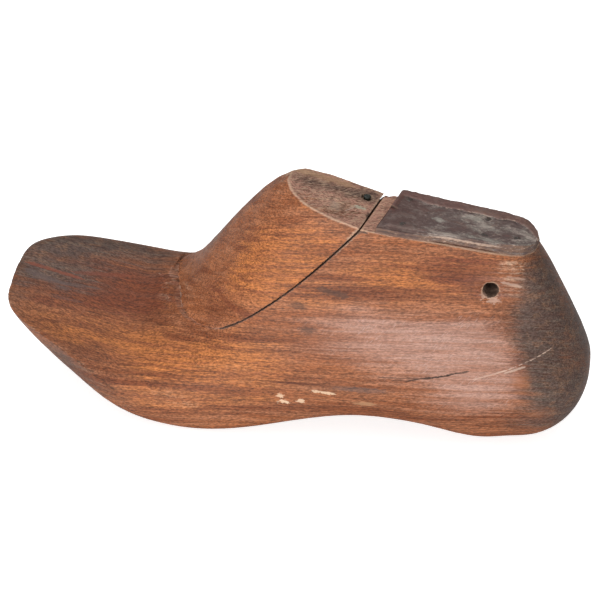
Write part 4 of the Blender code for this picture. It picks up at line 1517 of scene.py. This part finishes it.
@dataclass
class HeelLeather:
    """The thick worn leather nailed on the heel's sawn top."""

    voxel: float = 0.3
    faces: int = 150000
    thickness: float = 4.5
    strip_width: float = 5.2
    strip_rise: float = 0.8
    flare: float = 2.5
    plug_radius: float = 2.6
    forward: float = 1.8
    middle_worn: float = 0.35
    rear_worn: float = 0.9
    front_worn: float = 1.1
    edge_lifted: float = 1.3
    edge_rolled: float = 1.9
    tack_hollow: float = 0.04
    fray_depth: float = 0.35
    layer_depth: float = 0.30
    tack_spots: tuple[tuple[float, float], ...] = ()
    tack_levels: list[float] = field(default_factory=list)

    def make(self, finish: Finish) -> None:
        """Build the piece and dress it."""
        piece = copy_of_node("heel_top_leather", "worn_heel_leather")
        outline = self.local(crisp_edge_points(piece, math.radians(60), 0.3))
        outline = outline[outline[:, 2] > self.thickness - 0.3]
        for back, across in self.tack_spots:
            outline = outline[np.hypot(outline[:, 0] - back, outline[:, 1] - across) > self.plug_radius]
        remesh(join([piece, *self.plugs()]), self.voxel)
        relief = Relief(piece)
        relief.relax(3, 0.5)
        place = self.local(relief.points)
        inward, strip = self.seen_from_above(place, outline)
        relief.points += self.worn(place, inward, strip) @ HEEL_AXES
        relief.relax(1, 0.4)
        relief.write()
        thin_out(piece, self.faces)
        smooth_shaded(piece)
        self.measure_tacks(Relief(piece))
        self.paint(Relief(piece), outline)
        hand_over(piece, finish, "heel_top_leather", "body")

    def plugs(self) -> list[bpy.types.Object]:
        """Round fillings for the bores, since the leather closed round each tack."""
        made = []
        for back, across in self.tack_spots:
            middle = HEEL_TOP + np.array([back, across, self.thickness / 2]) @ HEEL_AXES
            bpy.ops.object.select_all(action="DESELECT")
            bpy.ops.mesh.primitive_cylinder_add(vertices=24, radius=self.plug_radius * MM,
                                                depth=(self.thickness - 0.1) * MM)
            plug = bpy.context.active_object
            place_on(plug, Vector(middle) * MM, Vector(HEEL_UP), 0.0)
            made.append(plug)
        return made

    def measure_tacks(self, relief: Relief) -> None:
        """Note how high the worn leather stands at each tack, for the heads to lie flush."""
        place = self.local(relief.points)
        for back, across in self.tack_spots:
            away = np.hypot(place[:, 0] - back, place[:, 1] - across)
            self.tack_levels.append(float(place[(away < 1.5) & (place[:, 2] > 2), 2].mean()))

    @staticmethod
    def local(points: np.ndarray) -> np.ndarray:
        """Places as distance towards the heel, across, and above the sawn wood."""
        return (points - HEEL_TOP) @ HEEL_AXES.T

    def seen_from_above(self, place: np.ndarray, outline: np.ndarray) -> tuple[np.ndarray, np.ndarray]:
        """Where each vertex lies in the leather's outline.

        Args:
            place: the vertices' local places.
            outline: local points along the unworn top's outline.

        Returns:
            How far each lies inside the outline, and 1 on the old layer that is left along the far edge.
        """
        inward = distance_to(place * (1, 1, 0), outline * (1, 1, 0))
        far_side = outline[outline[:, 1] > 0]
        far_side = far_side[np.argsort(far_side[:, 0])]
        from_far = np.interp(place[:, 0], far_side[:, 0], far_side[:, 1]) - place[:, 1]
        ragged = 2.2 * noise(place * (1, 0, 0), (11, 1, 1), 51, 2) + 0.5 * noise(place, (2.4, 2.4, 9), 52, 2)
        return inward, ramp(from_far, self.strip_width + ragged + 0.5, self.strip_width + ragged)

    def worn(self, place: np.ndarray, inward: np.ndarray, strip: np.ndarray) -> np.ndarray:
        """How wear has moved each vertex.

        Args:
            place: the vertices' local places.
            inward: how far each lies inside the outline.
            strip: 1 on the old layer, 0 off it.

        Returns:
            The moves back, across and up, in millimetres.
        """
        height = place[:, 2]
        on_top = ramp(height, 0.55 * self.thickness, 0.93 * self.thickness)
        near = place[:, 1] < np.median(place[:, 1])
        last = place[:, 0].max()
        front = place[:, 0] - place[:, 1] * SCOOP_SKEW - 1.0
        rolled = ramp(place[:, 0], 42, 8) * ramp(inward, 4.5, 0.3) * near
        lifted = ramp(np.abs(place[:, 0] - 37), 22, 8) * ramp(inward, 6, 0) * near
        top = strip * 0.22 * noise(place, (2.6, 1.2, 30), 58, 2)
        top += 0.20 * noise(place, (5, 3.2, 30), 53, 3) + 0.14 * noise(place, (1.3, 1.1, 30), 54, 2)
        for depth, share in (
                (self.strip_rise, ramp(inward, 0.8, 2.2) * (1 - strip)),
                (self.middle_worn, ramp(inward, 2, 9) * (1 - strip)),
                (self.rear_worn, ramp(place[:, 0], last - 9, last - 1)),
                (self.front_worn, ramp(front, 3.0, 0.0)),
                (self.edge_rolled, rolled**1.5)):
            top -= depth * share
        for spot in self.tack_spots:
            top -= self.tack_hollow * ramp(np.hypot(*(place[:, :2] - spot).T), 2.9, 1.6)
        up = on_top * top + (1 - on_top) * self.edge_lifted * lifted
        edge = ramp(inward, 3.0, 0.0)
        outward = np.where(near, -1.0, 1.0)
        side = (0.5 - height / self.thickness) * self.flare * edge * np.where(near, 1.0, 0.4)
        layers = ramp(np.abs(height - 1.5 - 0.2 * noise(place, (7, 7, 9), 55)), 0.42, 0.05)
        layers += 0.8 * ramp(np.abs(height - 3.0 - 0.2 * noise(place, (6, 6, 9), 56)), 0.36, 0.05)
        fray = self.fray_depth * noise(place, (2.2, 2.2, 0.8), 57, 3) - self.layer_depth * layers
        fray *= ramp(inward, 1.0, 0.1)
        across = outward * (side + fray)
        at_rear = ramp(place[:, 0], last - 5, last) * edge
        back = at_rear * (1.6 * fray + 0.5 * side)
        back -= self.forward * ramp(front, 9.0, 0.5)
        return np.stack([back, across * (1 - 0.7 * at_rear), up], 1)

    def paint(self, relief: Relief, outline: np.ndarray) -> None:
        """Store the sides, the old layer, the wear and the darkening in hollows for the material."""
        place = self.local(relief.points)
        inward, strip = self.seen_from_above(place, outline)
        upright = np.abs(relief.normals() @ HEEL_UP)
        relief.paint("side", ramp(upright, 0.85, 0.5) * ramp(inward, 2.4, 1.2))
        relief.paint("strip", strip * (place[:, 2] > 2.5))
        full = relief.fullness(10)
        torn = 4 * strip * (1 - strip) * ramp(place[:, 0], 0, 25)
        lip = 0.75 * ramp(inward, 0.9, 0.2) * (place[:, 2] > 3) * ramp(place[:, 0], 6, 10)
        relief.paint("wear", np.clip(0.7 * torn + lip, 0, 1))
        # Darker in the leather's hollows.
        relief.paint("dirt_and_shade", np.clip(ramp(full, -0.05, -0.2), 0, 1))


def hammered(piece: bpy.types.Object, size: float, depth: float, seed: int) -> None:
    """Give a small metal piece an uneven surface.

    Args:
        piece: a mesh with fine faces.
        size: the size of its dents, in millimetres.
        depth: how deep they are, in millimetres.
        seed: picks another pattern.
    """
    relief = Relief(piece, in_place=False)
    relief.lift(depth * noise(relief.points, (size, size, size), seed, 2))
    relief.write()


def place_on(piece: bpy.types.Object, spot: Vector, up: Vector, turn: float) -> None:
    """Stand a piece made at the origin on a spot.

    Args:
        piece: the object, upright along Z.
        spot: where its origin goes, in metres.
        up: the direction that its Z takes.
        turn: its turn about that direction, in radians.
    """
    lean = Vector((0, 0, 1)).rotation_difference(up)
    piece.rotation_mode = "QUATERNION"
    piece.rotation_quaternion = lean @ Quaternion((0, 0, 1), turn)
    piece.location = spot
    settle(piece)


@dataclass
class LeatherTacks:
    """Cut tacks with rough four-sided heads, hammered flush with the leather."""

    head: tuple[float, float] = (3.1, 2.5)
    head_height: float = 1.0
    shank: float = 1.5
    length: float = 13.0
    proud: float = 0.10
    point: tuple[float, float] = (0.22, 0.3)
    turns: tuple[float, ...] = (0.3, 1.1, -0.5, 0.8, 0.15)

    def spot(self, number: int) -> np.ndarray:
        """The middle of a tack's head, from its node's box, in millimetres."""
        low, high = (np.array(corner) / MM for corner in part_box(f"leather_tack_{number}"))
        radius = (high[1] - low[1]) / 2
        back, _, up = high - radius * HEEL_UP[::-1]
        return np.array([back, (low[1] + high[1]) / 2, up])

    def local_spots(self) -> tuple[tuple[float, float], ...]:
        """Each head's distance towards the heel and across, for the leather's hollows."""
        spots = [HeelLeather.local(self.spot(number)[None])[0] for number in range(1, len(self.turns) + 1)]
        return tuple((float(spot[0]), float(spot[1])) for spot in spots)

    def pattern(self) -> bpy.types.Object:
        """Model one tack upright, its head's top at the origin."""
        bpy.ops.object.select_all(action="DESELECT")
        bpy.ops.mesh.primitive_cube_add(size=MM, location=(0, 0, -self.head_height / 2 * MM))
        tack = bpy.context.active_object
        tack.scale = (*self.head, self.head_height)
        settle(tack)
        with editing():
            bpy.ops.mesh.select_all(action="DESELECT")
        for face in tack.data.polygons:
            face.select = face.normal.z < -0.9
        shank_length = (self.length - self.head_height) * MM
        with editing():
            bpy.ops.mesh.select_mode(type="FACE")
            bpy.ops.mesh.inset(thickness=(self.head[1] - self.shank) / 2 * MM)
            bpy.ops.mesh.extrude_region_move(TRANSFORM_OT_translate={"value": (0, 0, -shank_length)})
            bpy.ops.transform.resize(value=(*self.point, 1))
        use_modifier(tack, "BEVEL", width=0.22 * MM, segments=2, limit_method="ANGLE")
        use_modifier(tack, "SUBSURF", subdivision_type="SIMPLE", levels=2, render_levels=2)
        hammered(tack, 0.9, 0.09, 71)
        smooth_shaded(tack)
        return tack

    def make(self, finish: Finish, levels: list[float]) -> None:
        """Copy the tack to each node's place and dress the copies.

        Args:
            finish: their material.
            levels: how high the leather stands over the sawn wood at each tack, in millimetres.
        """
        pattern = self.pattern()
        for number, (turn, level) in enumerate(zip(self.turns, levels, strict=True), 1):
            tack = bpy.data.objects.new(f"cut_tack_{number}", pattern.data.copy())
            bpy.context.scene.collection.objects.link(tack)
            spot = self.spot(number)
            sunk = HeelLeather.local(spot[None])[0, 2] - level - self.proud
            place_on(tack, Vector(spot - sunk * HEEL_UP) * MM, Vector(HEEL_UP), turn)
            hand_over(tack, finish, f"leather_tack_{number}", "body")
        bpy.data.objects.remove(pattern, do_unlink=True)


@dataclass
class LockingPin:
    """The brass pin that locks the block, with a hammered and tarnished head."""

    head: float = 3.4
    head_height: float = 1.4
    shank: float = 2.4
    straight: float = 31.6
    point: float = 2.2
    dish: float = 0.16
    head_rings: tuple[float, ...] = (0.5, 0.5, 0.45)
    sides: int = 40

    def make(self, finish: Finish) -> None:
        """Model the pin upright at its node's place and dress it."""
        low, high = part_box("block_locking_pin")
        top = Vector(((low.x + high.x) / 2, (low.y + high.y) / 2, high.z))
        bpy.ops.object.select_all(action="DESELECT")
        bpy.ops.mesh.primitive_cylinder_add(
            vertices=self.sides, radius=self.head / 2 * MM, depth=self.head_height * MM,
            location=top - Vector((0, 0, self.head_height / 2 * MM)))
        pin = bpy.context.active_object
        pin.name = "tarnished_locking_pin"
        settle(pin)
        for face in pin.data.polygons:
            face.select = face.normal.z < -0.9
        with editing():
            bpy.ops.mesh.select_mode(type="FACE")
            bpy.ops.mesh.inset(thickness=(self.head - self.shank) / 2 * MM)
            for drop in (self.straight, self.point):
                bpy.ops.mesh.extrude_region_move(TRANSFORM_OT_translate={"value": (0, 0, -drop * MM)})
            bpy.ops.transform.resize(value=(0.2, 0.2, 1))
            bpy.ops.mesh.select_all(action="DESELECT")
        for face in pin.data.polygons:
            face.select = face.normal.z > 0.9
        with editing():
            for width in self.head_rings:
                bpy.ops.mesh.inset(thickness=width * MM, depth=0.0)
        use_modifier(pin, "BEVEL", width=0.3 * MM, segments=3, limit_method="ANGLE")
        relief = Relief(pin)
        middle = np.array(top) / MM
        away = np.hypot(relief.points[:, 0] - middle[0], relief.points[:, 1] - middle[1])
        on_head = relief.points[:, 2] > middle[2] - self.head_height / 2
        relief.points[:, 2] -= on_head * self.dish * away**2 / (self.head / 2)
        relief.write()
        use_modifier(pin, "SUBSURF", subdivision_type="SIMPLE", levels=2, render_levels=2)
        hammered(pin, 1.3, 0.07, 75)
        smooth_shaded(pin)
        hand_over(pin, finish, "block_locking_pin", "pin")


@dataclass
class LocatingDowels:
    """The two hardwood dowels, burnished where the block slides on them."""

    diameter: float = 8.0
    chamfer: float = 0.8
    sides: int = 72
    worn_off: float = 0.03

    def make(self, finish: Finish) -> None:
        """Model each dowel at its node's place and dress it."""
        for place_name in ("front", "rear"):
            low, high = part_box(f"{place_name}_locating_dowel")
            bpy.ops.object.select_all(action="DESELECT")
            bpy.ops.mesh.primitive_cylinder_add(
                vertices=self.sides, radius=(self.diameter / 2 - self.worn_off) * MM, depth=high.z - low.z,
                location=(low + high) / 2)
            dowel = bpy.context.active_object
            dowel.name = f"worn_dowel_{place_name}"
            settle(dowel)
            use_modifier(dowel, "BEVEL", width=self.chamfer * MM, segments=4, limit_method="ANGLE")
            with editing():
                bpy.ops.mesh.select_all(action="DESELECT")
            for edge in dowel.data.edges:
                first, second = (dowel.data.vertices[i].co for i in edge.vertices)
                edge.select = abs(first.z - second.z) > 20 * MM
            with editing():
                bpy.ops.mesh.subdivide(number_cuts=40)
            relief = Relief(dowel)
            relief.lift(self.worn_off * noise(relief.points, (0.9, 0.9, 12), 81, 2))
            relief.write()
            only(dowel)
            bpy.ops.object.shade_smooth_by_angle(angle=math.radians(40))
            hand_over(dowel, finish, f"{place_name}_locating_dowel", "body")


# Camera, lights and floor


@dataclass
class Studio:
    """A pale floor, soft lights and the camera at the photograph's angle."""

    azimuth: float = 11.0
    elevation: float = 36.0
    distance: float = 1.0
    target: Point = (0.0, 0.0, 0.045)
    lens: float = 128.16
    shift: tuple[float, float] = (0.0115, 0.0183)
    floor_size: float = 6.0
    floor_glow: float = 0.62
    world_strength: float = 0.40

    def make(self) -> None:
        """Build all of it."""
        self.camera()
        self.light("front_softbox", (-0.26, -1.5, 0.30), 0.8, 29.8)
        self.light("top_softbox", (-0.30, 0.20, 1.3), 1.0, 9.0)
        self.floor()
        world = bpy.data.worlds.new("pale studio")
        bpy.context.scene.world = world
        world.use_nodes = True
        background = world.node_tree.nodes["Background"]
        background.inputs["Color"].default_value = (1.0, 1.0, 1.0, 1.0)
        background.inputs["Strength"].default_value = self.world_strength
        bpy.context.scene.view_settings.view_transform = "Standard"

    def camera(self) -> None:
        """Aim the camera at the last."""
        a, e = math.radians(self.azimuth), math.radians(self.elevation)
        back = Vector((math.sin(a) * math.cos(e), -math.cos(a) * math.cos(e), math.sin(e)))
        data = bpy.data.cameras.new("camera")
        data.lens = self.lens
        data.sensor_width = 36.0
        data.shift_x, data.shift_y = self.shift
        camera = bpy.data.objects.new("camera", data)
        camera.location = Vector(self.target) + back * self.distance
        camera.rotation_euler = (-back).to_track_quat("-Z", "Y").to_euler()
        bpy.context.scene.collection.objects.link(camera)
        bpy.context.scene.camera = camera

    def light(self, name: str, place: Point, size: float, power: float) -> None:
        """Add one soft light that faces the last.

        Args:
            name: its name.
            place: where it stands, in metres.
            size: its side, in metres.
            power: its power in watts.
        """
        data = bpy.data.lights.new(name, "AREA")
        data.size = size
        data.energy = power
        lamp = bpy.data.objects.new(name, data)
        lamp.location = place
        lamp.rotation_euler = (Vector(self.target) - Vector(place)).to_track_quat("-Z", "Y").to_euler()
        bpy.context.scene.collection.objects.link(lamp)

    def floor(self) -> None:
        """Lay the floor just under the sole."""
        bpy.ops.object.select_all(action="DESELECT")
        bpy.ops.mesh.primitive_plane_add(size=self.floor_size)
        floor = bpy.context.active_object
        floor.name = "studio_floor"
        finish = Finish("studio floor")
        speck = finish.graph.noise(finish.graph.scaled(finish.place, (4, 4, 4)), 3.0)
        tone = finish.graph.mix(speck, (0.93, 0.93, 0.93), (0.95, 0.95, 0.95))
        finish.connect(tone, 0.8, speck, 0.02, Specular_IOR_Level=0.0)
        seen = finish.graph.add("ShaderNodeLightPath", "Is Camera Ray")
        finish.shader.inputs["Emission Color"].default_value = (1.0, 1.0, 1.0, 1.0)
        finish.graph.feed(finish.shader.inputs["Emission Strength"], seen * self.floor_glow)
        finish.dress(floor)


# Stains, marks and dents in the photograph's places


CREAM = (0.60, 0.42, 0.28)
ASH = (0.100, 0.070, 0.064)
SOOT = (0.055, 0.030, 0.022)
BLOOD = (0.20, 0.050, 0.026)
CHIP = (0.43, 0.27, 0.20)
RUBBED = (0.44, 0.30, 0.23)
PLAN = (1.0, 1.0, 0.1)
TACK_IRON = ((0.055, 0.045, 0.040), (0.075, 0.042, 0.030), (0.13, 0.115, 0.10), 0.4)
TARNISHED_BRASS = ((0.012, 0.014, 0.010), (0.010, 0.017, 0.012), (0.07, 0.06, 0.04), 0.3)
BODY_PATCHES = (
    *stains(
        Stain.SMOKE,
        ((-120, 22, 46), (28, 16, 12), 0.85), ((-112, 8, 42), (26, 10, 10), 0.5),
        ((-86, 30, 45), (34, 8, 10), 0.45), ((-112, -30, 24), (30, 9, 9), 0.3),
        ((-70, 24, 45), (24, 10, 8), 0.3), ((-136, 4, 30), (12, 30, 22), 0.5),
        ((-95, -34, 18), (40, 10, 12), 0.2), ((-112, 33, 47), (34, 9, 7), 0.45),
        ((-76, 38, 46), (32, 8, 7), 0.4), ((-104, -20, 20), (44, 14, 7), 0.2),
        ((30, -37, 30), (34, 10, 6), 0.22), ((115, -18, 60), (12, 16, 30), 1.0),
        ((128, -4, 50), (19, 34, 38), 1.0), ((114, -8, 86), (13, 18, 18), 0.8),
        ((104, -20, 72), (9, 10, 12), 0.35), ((118, 18, 40), (24, 16, 34), 0.5),
        ((124, -20, 24), (22, 18, 18), 0.9),
    ),
    *stains(
        Stain.RUSSET,
        ((-108, 6, 40), (34, 14, 12), 0.8), ((-72, 2, 42), (26, 16, 10), 0.9),
        ((-92, 18, 44), (34, 12, 10), 0.75), ((108, -28, 46), (5, 8, 14), 0.7),
        ((80, -18, 92), (22, 10, 9), 0.7), ((92, -19, 80), (14, 8, 8), 0.35),
        ((112, -26, 36), (9, 8, 12), 0.35),
    ),
    *stains(
        Stain.BARE,
        ((-50, -38, 18), (26, 10, 9), 0.28), ((-63, 3, 46), (9, 18, 8), 0.20),
        ((-14, -38, 34), (40, 10, 12), 0.16), ((102, -16, 93), (9, 8, 6), 0.35),
        ((102, -18, 84), (10, 8, 5), 0.28),
    ),
    *stains(
        Stain.AMBER,
        ((-56, -42, 18), (30, 10, 9), 0.6), ((-22, -38, 38), (36, 14, 20), 0.9),
        ((-62, -27, 32), (40, 16, 12), 0.8), ((-104, -16, 33), (32, 12, 10), 0.5),
        ((54, -24, 86), (34, 12, 12), 0.7), ((18, -29, 74), (16, 12, 10), 0.6),
    ),
    *stains(
        # The rosy tone and its painted sheen highlight on the waist and the lower heel.
        Stain.ROSE_AND_SHEEN,
        ((98, -19, 86), (16, 8, 10), 0.35), ((30, -33, 58), (36, 12, 18), 0.4),
        ((58, -30, 54), (36, 12, 20), 0.75), ((84, -29, 52), (26, 14, 18), 1.0),
        ((92, -26, 62), (18, 12, 10), 0.5), ((94, -30, 35), (23, 12, 14), 0.75),
        ((76, -34, 28), (22, 10, 8), 0.45),
    ),
)
BODY_MARKS = (
    Mark((-136, 16.8, 43.5), colour=BLOOD, strength=0.7, to=(-104, 11, 41.5), width=0.9, grainy=0.5,
         flatten=PLAN),
    Mark((-112, 14.4, 42.5), colour=BLOOD, strength=0.5, to=(-82, 16, 43), width=1.1, grainy=0.8,
         flatten=PLAN),
    Mark((-135, 12.8, 42), colour=ASH, strength=0.65, to=(-109, 4.5, 39.5), width=1.7, grainy=0.7,
         flatten=PLAN),
    Mark((-131, 8, 41), colour=ASH, strength=0.5, to=(-94, 7, 40), width=1, grainy=0.8, flatten=PLAN),
    Mark((-129, 0.8, 38.5), colour=ASH, strength=0.4, to=(-102, -1.5, 37.5), width=0.8, grainy=0.8,
         flatten=PLAN),
    Mark((3.1, -40.4, 22.6), (2.5, 3, 0.9), CREAM, 0.9, ragged=4.5, soft=0.15),
    Mark((2.2, -40.3, 25.9), (1.3, 3, 1), CREAM, 0.8, ragged=4.5, soft=0.15),
    Mark((11.4, -39.5, 23.7), (1.7, 3, 0.9), CREAM, 0.8, ragged=4.5, soft=0.15),
    Mark((18, -38.7, 29.6), (2.2, 3, 0.9), CREAM, 0.7, ragged=4.5, soft=0.15),
    Mark((23.4, -38.1, 29), (3.6, 3, 0.7), CREAM, 0.8, ragged=4.5, soft=0.15),
    Mark((94.6, -19, 77.9), (3.2, 3, 1), CHIP, 0.7, ragged=5),
    Mark((90, -19, 79.6), (1.2, 3, 1.6), CHIP, 0.6, ragged=5),
    Mark((40.6, -36.4, 24), (5, 3, 1.2), (0.38, 0.21, 0.11), 0.6),
    Mark((38.2, -36.7, 32), (13, 3, 1.6), ASH, 0.45),
    Mark((8.1, -30.2, 70.4), (3.6, 3, 1.8), SOOT, 0.6, soft=0.6),
    Mark((13.3, -33.2, 60), (3.4, 3, 1.8), SOOT, 0.6, soft=0.6),
    Mark((16, -28, 79.6), to=(31, -27, 76.5), colour=SOOT, strength=0.6, width=1.5),
    Mark((46, -35, 39.6), to=(66, -33.5, 40), colour=SOOT, strength=0.6, width=0.35),
    Mark((52, -35, 38.4), to=(64, -33.5, 39), colour=SOOT, strength=0.5, width=0.3),
    Mark((58, -34.2, 38), to=(70, -31.3, 41.6), colour=SOOT, strength=0.8, width=0.3, depth=0.4, ragged=3),
    Mark((66, -34.2, 40), to=(79, -31.3, 42.9), colour=SOOT, width=0.36, depth=0.6, ragged=3.5),
    Mark((76, -34.2, 42.6), to=(87, -31.3, 45.6), colour=SOOT, strength=0.9, width=0.35, depth=0.4,
         ragged=2.5),
    Mark((88, -31, 41.2), to=(104, -27, 47.2), colour=(0.47, 0.32, 0.25), strength=0.5, width=0.4, ragged=3),
    Mark((98, -29, 44.6), to=(123, -19.5, 55.6), colour=(0.50, 0.36, 0.28), strength=0.7, width=0.3,
         ragged=3),
    Mark((102, -29, 45.2), to=(112, -25, 49), colour=(0.50, 0.38, 0.30), strength=0.5, width=0.5, ragged=3),
    Mark((110.2, -29, 41.4), (3.6, 4, 4), (0.34, 0.125, 0.05), 0.4, soft=0.7),
    Mark((118, -22, 24), (7, 6, 3.5), (0.30, 0.105, 0.045), 0.5, soft=0.7),
    Mark((97, -18, 86.8), to=(107, -14, 84.2), colour=RUBBED, strength=0.55, width=0.6, ragged=3),
    Mark((99, -18, 89.6), to=(108, -14, 87.6), colour=RUBBED, strength=0.35, width=0.5, ragged=3),
    Mark((-58.6, 20, 47), colour=SOOT, strength=0.6, to=(-57.2, 12, 46), width=0.5, flatten=PLAN),
    Mark((-57.4, 12, 47), colour=(0.42, 0.28, 0.21), strength=0.5, to=(-51.5, -8, 46), width=0.3, ragged=3,
         flatten=PLAN),
    Mark((-57, 15, 47), colour=(0.36, 0.22, 0.16), strength=0.4, to=(-64, 16.6, 46), width=0.5, ragged=3,
         flatten=PLAN),
)
LEATHER_MARKS = (
    Mark((80, 4, 107), (3.2, 1.6, 2), (0.42, 0.37, 0.32), 0.7, ragged=4, soft=0.5),
    Mark((88, -1, 105), (3.6, 1.4, 2), (0.40, 0.35, 0.30), 0.6, ragged=4, soft=0.5),
    Mark((67, -4, 108), (2.4, 1.6, 2), (0.38, 0.35, 0.30), 0.6, ragged=4, soft=0.5),
    Mark((74, -14, 108), (9, 0.9, 2), (0.40, 0.32, 0.27), 0.6, ragged=3, soft=0.5),
)
BODY_HATCHING = Hatching((0, math.radians(50), 0), (3.0, 9.0, 0.5), 0.9, rest=0.06)
BLOCK_PATCHES = (
    *stains(
        Stain.AMBER,
        ((-8, -24, 84), (34, 16, 22), 0.9), ((12, -22, 94), (26, 12, 16), 0.5),
        ((12, -12, 115), (20, 7, 4), 0.45),
    ),
    *stains(
        Stain.RUSSET,
        ((-36, -20, 62), (16, 14, 14), 0.4), ((21, -12, 113), (10, 5, 4), 0.45),
        ((28, -9, 112), (9, 7, 4), 0.5),
    ),
    *stains(
        Stain.SMOKE,
        ((26, 4, 112), (15, 5, 5), 0.9), ((8, 3, 116), (14, 6, 4), 0.8), ((36, 8, 110), (8, 6, 4), 0.9),
        ((-36, 16, 82), (30, 12, 22), 0.5),
    ),
    *stains(
        Stain.BARE,
        ((18, -8, 113), (20, 8, 4), 0.5), ((-50, 2, 49), (8, 18, 8), 0.20), ((4, 14, 117), (14, 8, 5), 0.6),
        ((-8, 2, 117), (6, 14, 4), 0.5),
    ),
)
BLOCK_MARKS = (
    Mark((31.3, -4.8, 110), (2.4, 1.4, 2), (0.42, 0.40, 0.30), 0.8, ragged=3),
    Mark((21, -9.5, 113), (2.2, 2.6, 2), (0.44, 0.33, 0.26), 0.4, ragged=5, soft=0.7),
    Mark((33.4, 4.4, 110), (4.2, 3.2, 2), SOOT, 0.5, soft=0.5),
    Mark((-6, 8.5, 120), colour=(0.36, 0.22, 0.125), strength=0.6, to=(27, 9.5, 111), width=2, ragged=4.5,
         flatten=PLAN),
    Mark((25.5, -11, 112), colour=(0.50, 0.40, 0.33), strength=0.45, to=(30.5, -3, 111), width=0.4, ragged=4,
         flatten=PLAN),
    Mark((36, -9, 108.7), (1.3, 2.4, 3), SOOT, 0.9, soft=0.3),
    Mark((-5, -30, 99), (1.4, 4, 1.4), SOOT, 0.6, soft=0.4),
    Mark((-34, -26, 64), colour=(0.11, 0.026, 0.012), strength=0.7, to=(-12, -30, 62), width=1.4, grainy=0.4),
)
BLOCK_HATCHING = Hatching((0, math.radians(-8), 0), (0.50, 9.0, 6.0), 0.3, where="russet", rest=0.12)
BODY_DENTS = (
    Dent((41.5, 13.5, 108), (4.5, 5, 5), 1.6),
    Dent((101.0, -17, 85.2), (5.5, 4, 1.3), 0.35),
    Dent((103.0, -16, 88.6), (4.5, 4, 1.1), 0.25),
    Dent((98.0, -15, 95.0), (6, 4, 2.4), 0.3),
    Dent((3.1, -40.4, 22.6), (3.0, 3, 1.3), 0.3),
    Dent((23.4, -38.1, 29.0), (3.6, 3, 1.0), 0.3),
    Dent((-57, 14, 47), (4, 2.5, 4), 0.5),
)


def finishes() -> dict[str, Finish]:
    """Make every material, named after the start of its pieces' names."""
    effects = Effects()
    return {
        "worn_last_body": WornWood("worn body wood", effects, WoodColours(), BODY_MARKS, BODY_HATCHING),
        "worn_instep_block": WornWood("worn block wood", effects, WoodColours(), BLOCK_MARKS, BLOCK_HATCHING),
        "worn_heel_leather": OldLeather("old heel leather", effects, LEATHER_MARKS),
        "cut_tack": OldMetal("tack iron", *TACK_IRON),
        "tarnished_locking_pin": OldMetal("tarnished brass", *TARNISHED_BRASS),
        "worn_dowel": DowelWood("dowel wood", effects),
    }


def main() -> None:
    """Build every sub-assembly in turn."""
    logging.basicConfig(level=logging.INFO, format="%(name)s: %(message)s")
    Studio().make()
    finish = finishes()
    LastBody(patches=BODY_PATCHES, dents=BODY_DENTS).make(finish["worn_last_body"])
    InstepBlock(patches=BLOCK_PATCHES).make(finish["worn_instep_block"])
    tacks = LeatherTacks()
    leather = HeelLeather(tack_spots=tacks.local_spots())
    leather.make(finish["worn_heel_leather"])
    tacks.make(finish["cut_tack"], leather.tack_levels)
    LockingPin().make(finish["tarnished_locking_pin"])
    LocatingDowels().make(finish["worn_dowel"])


if __name__ == "__main__":
    main()
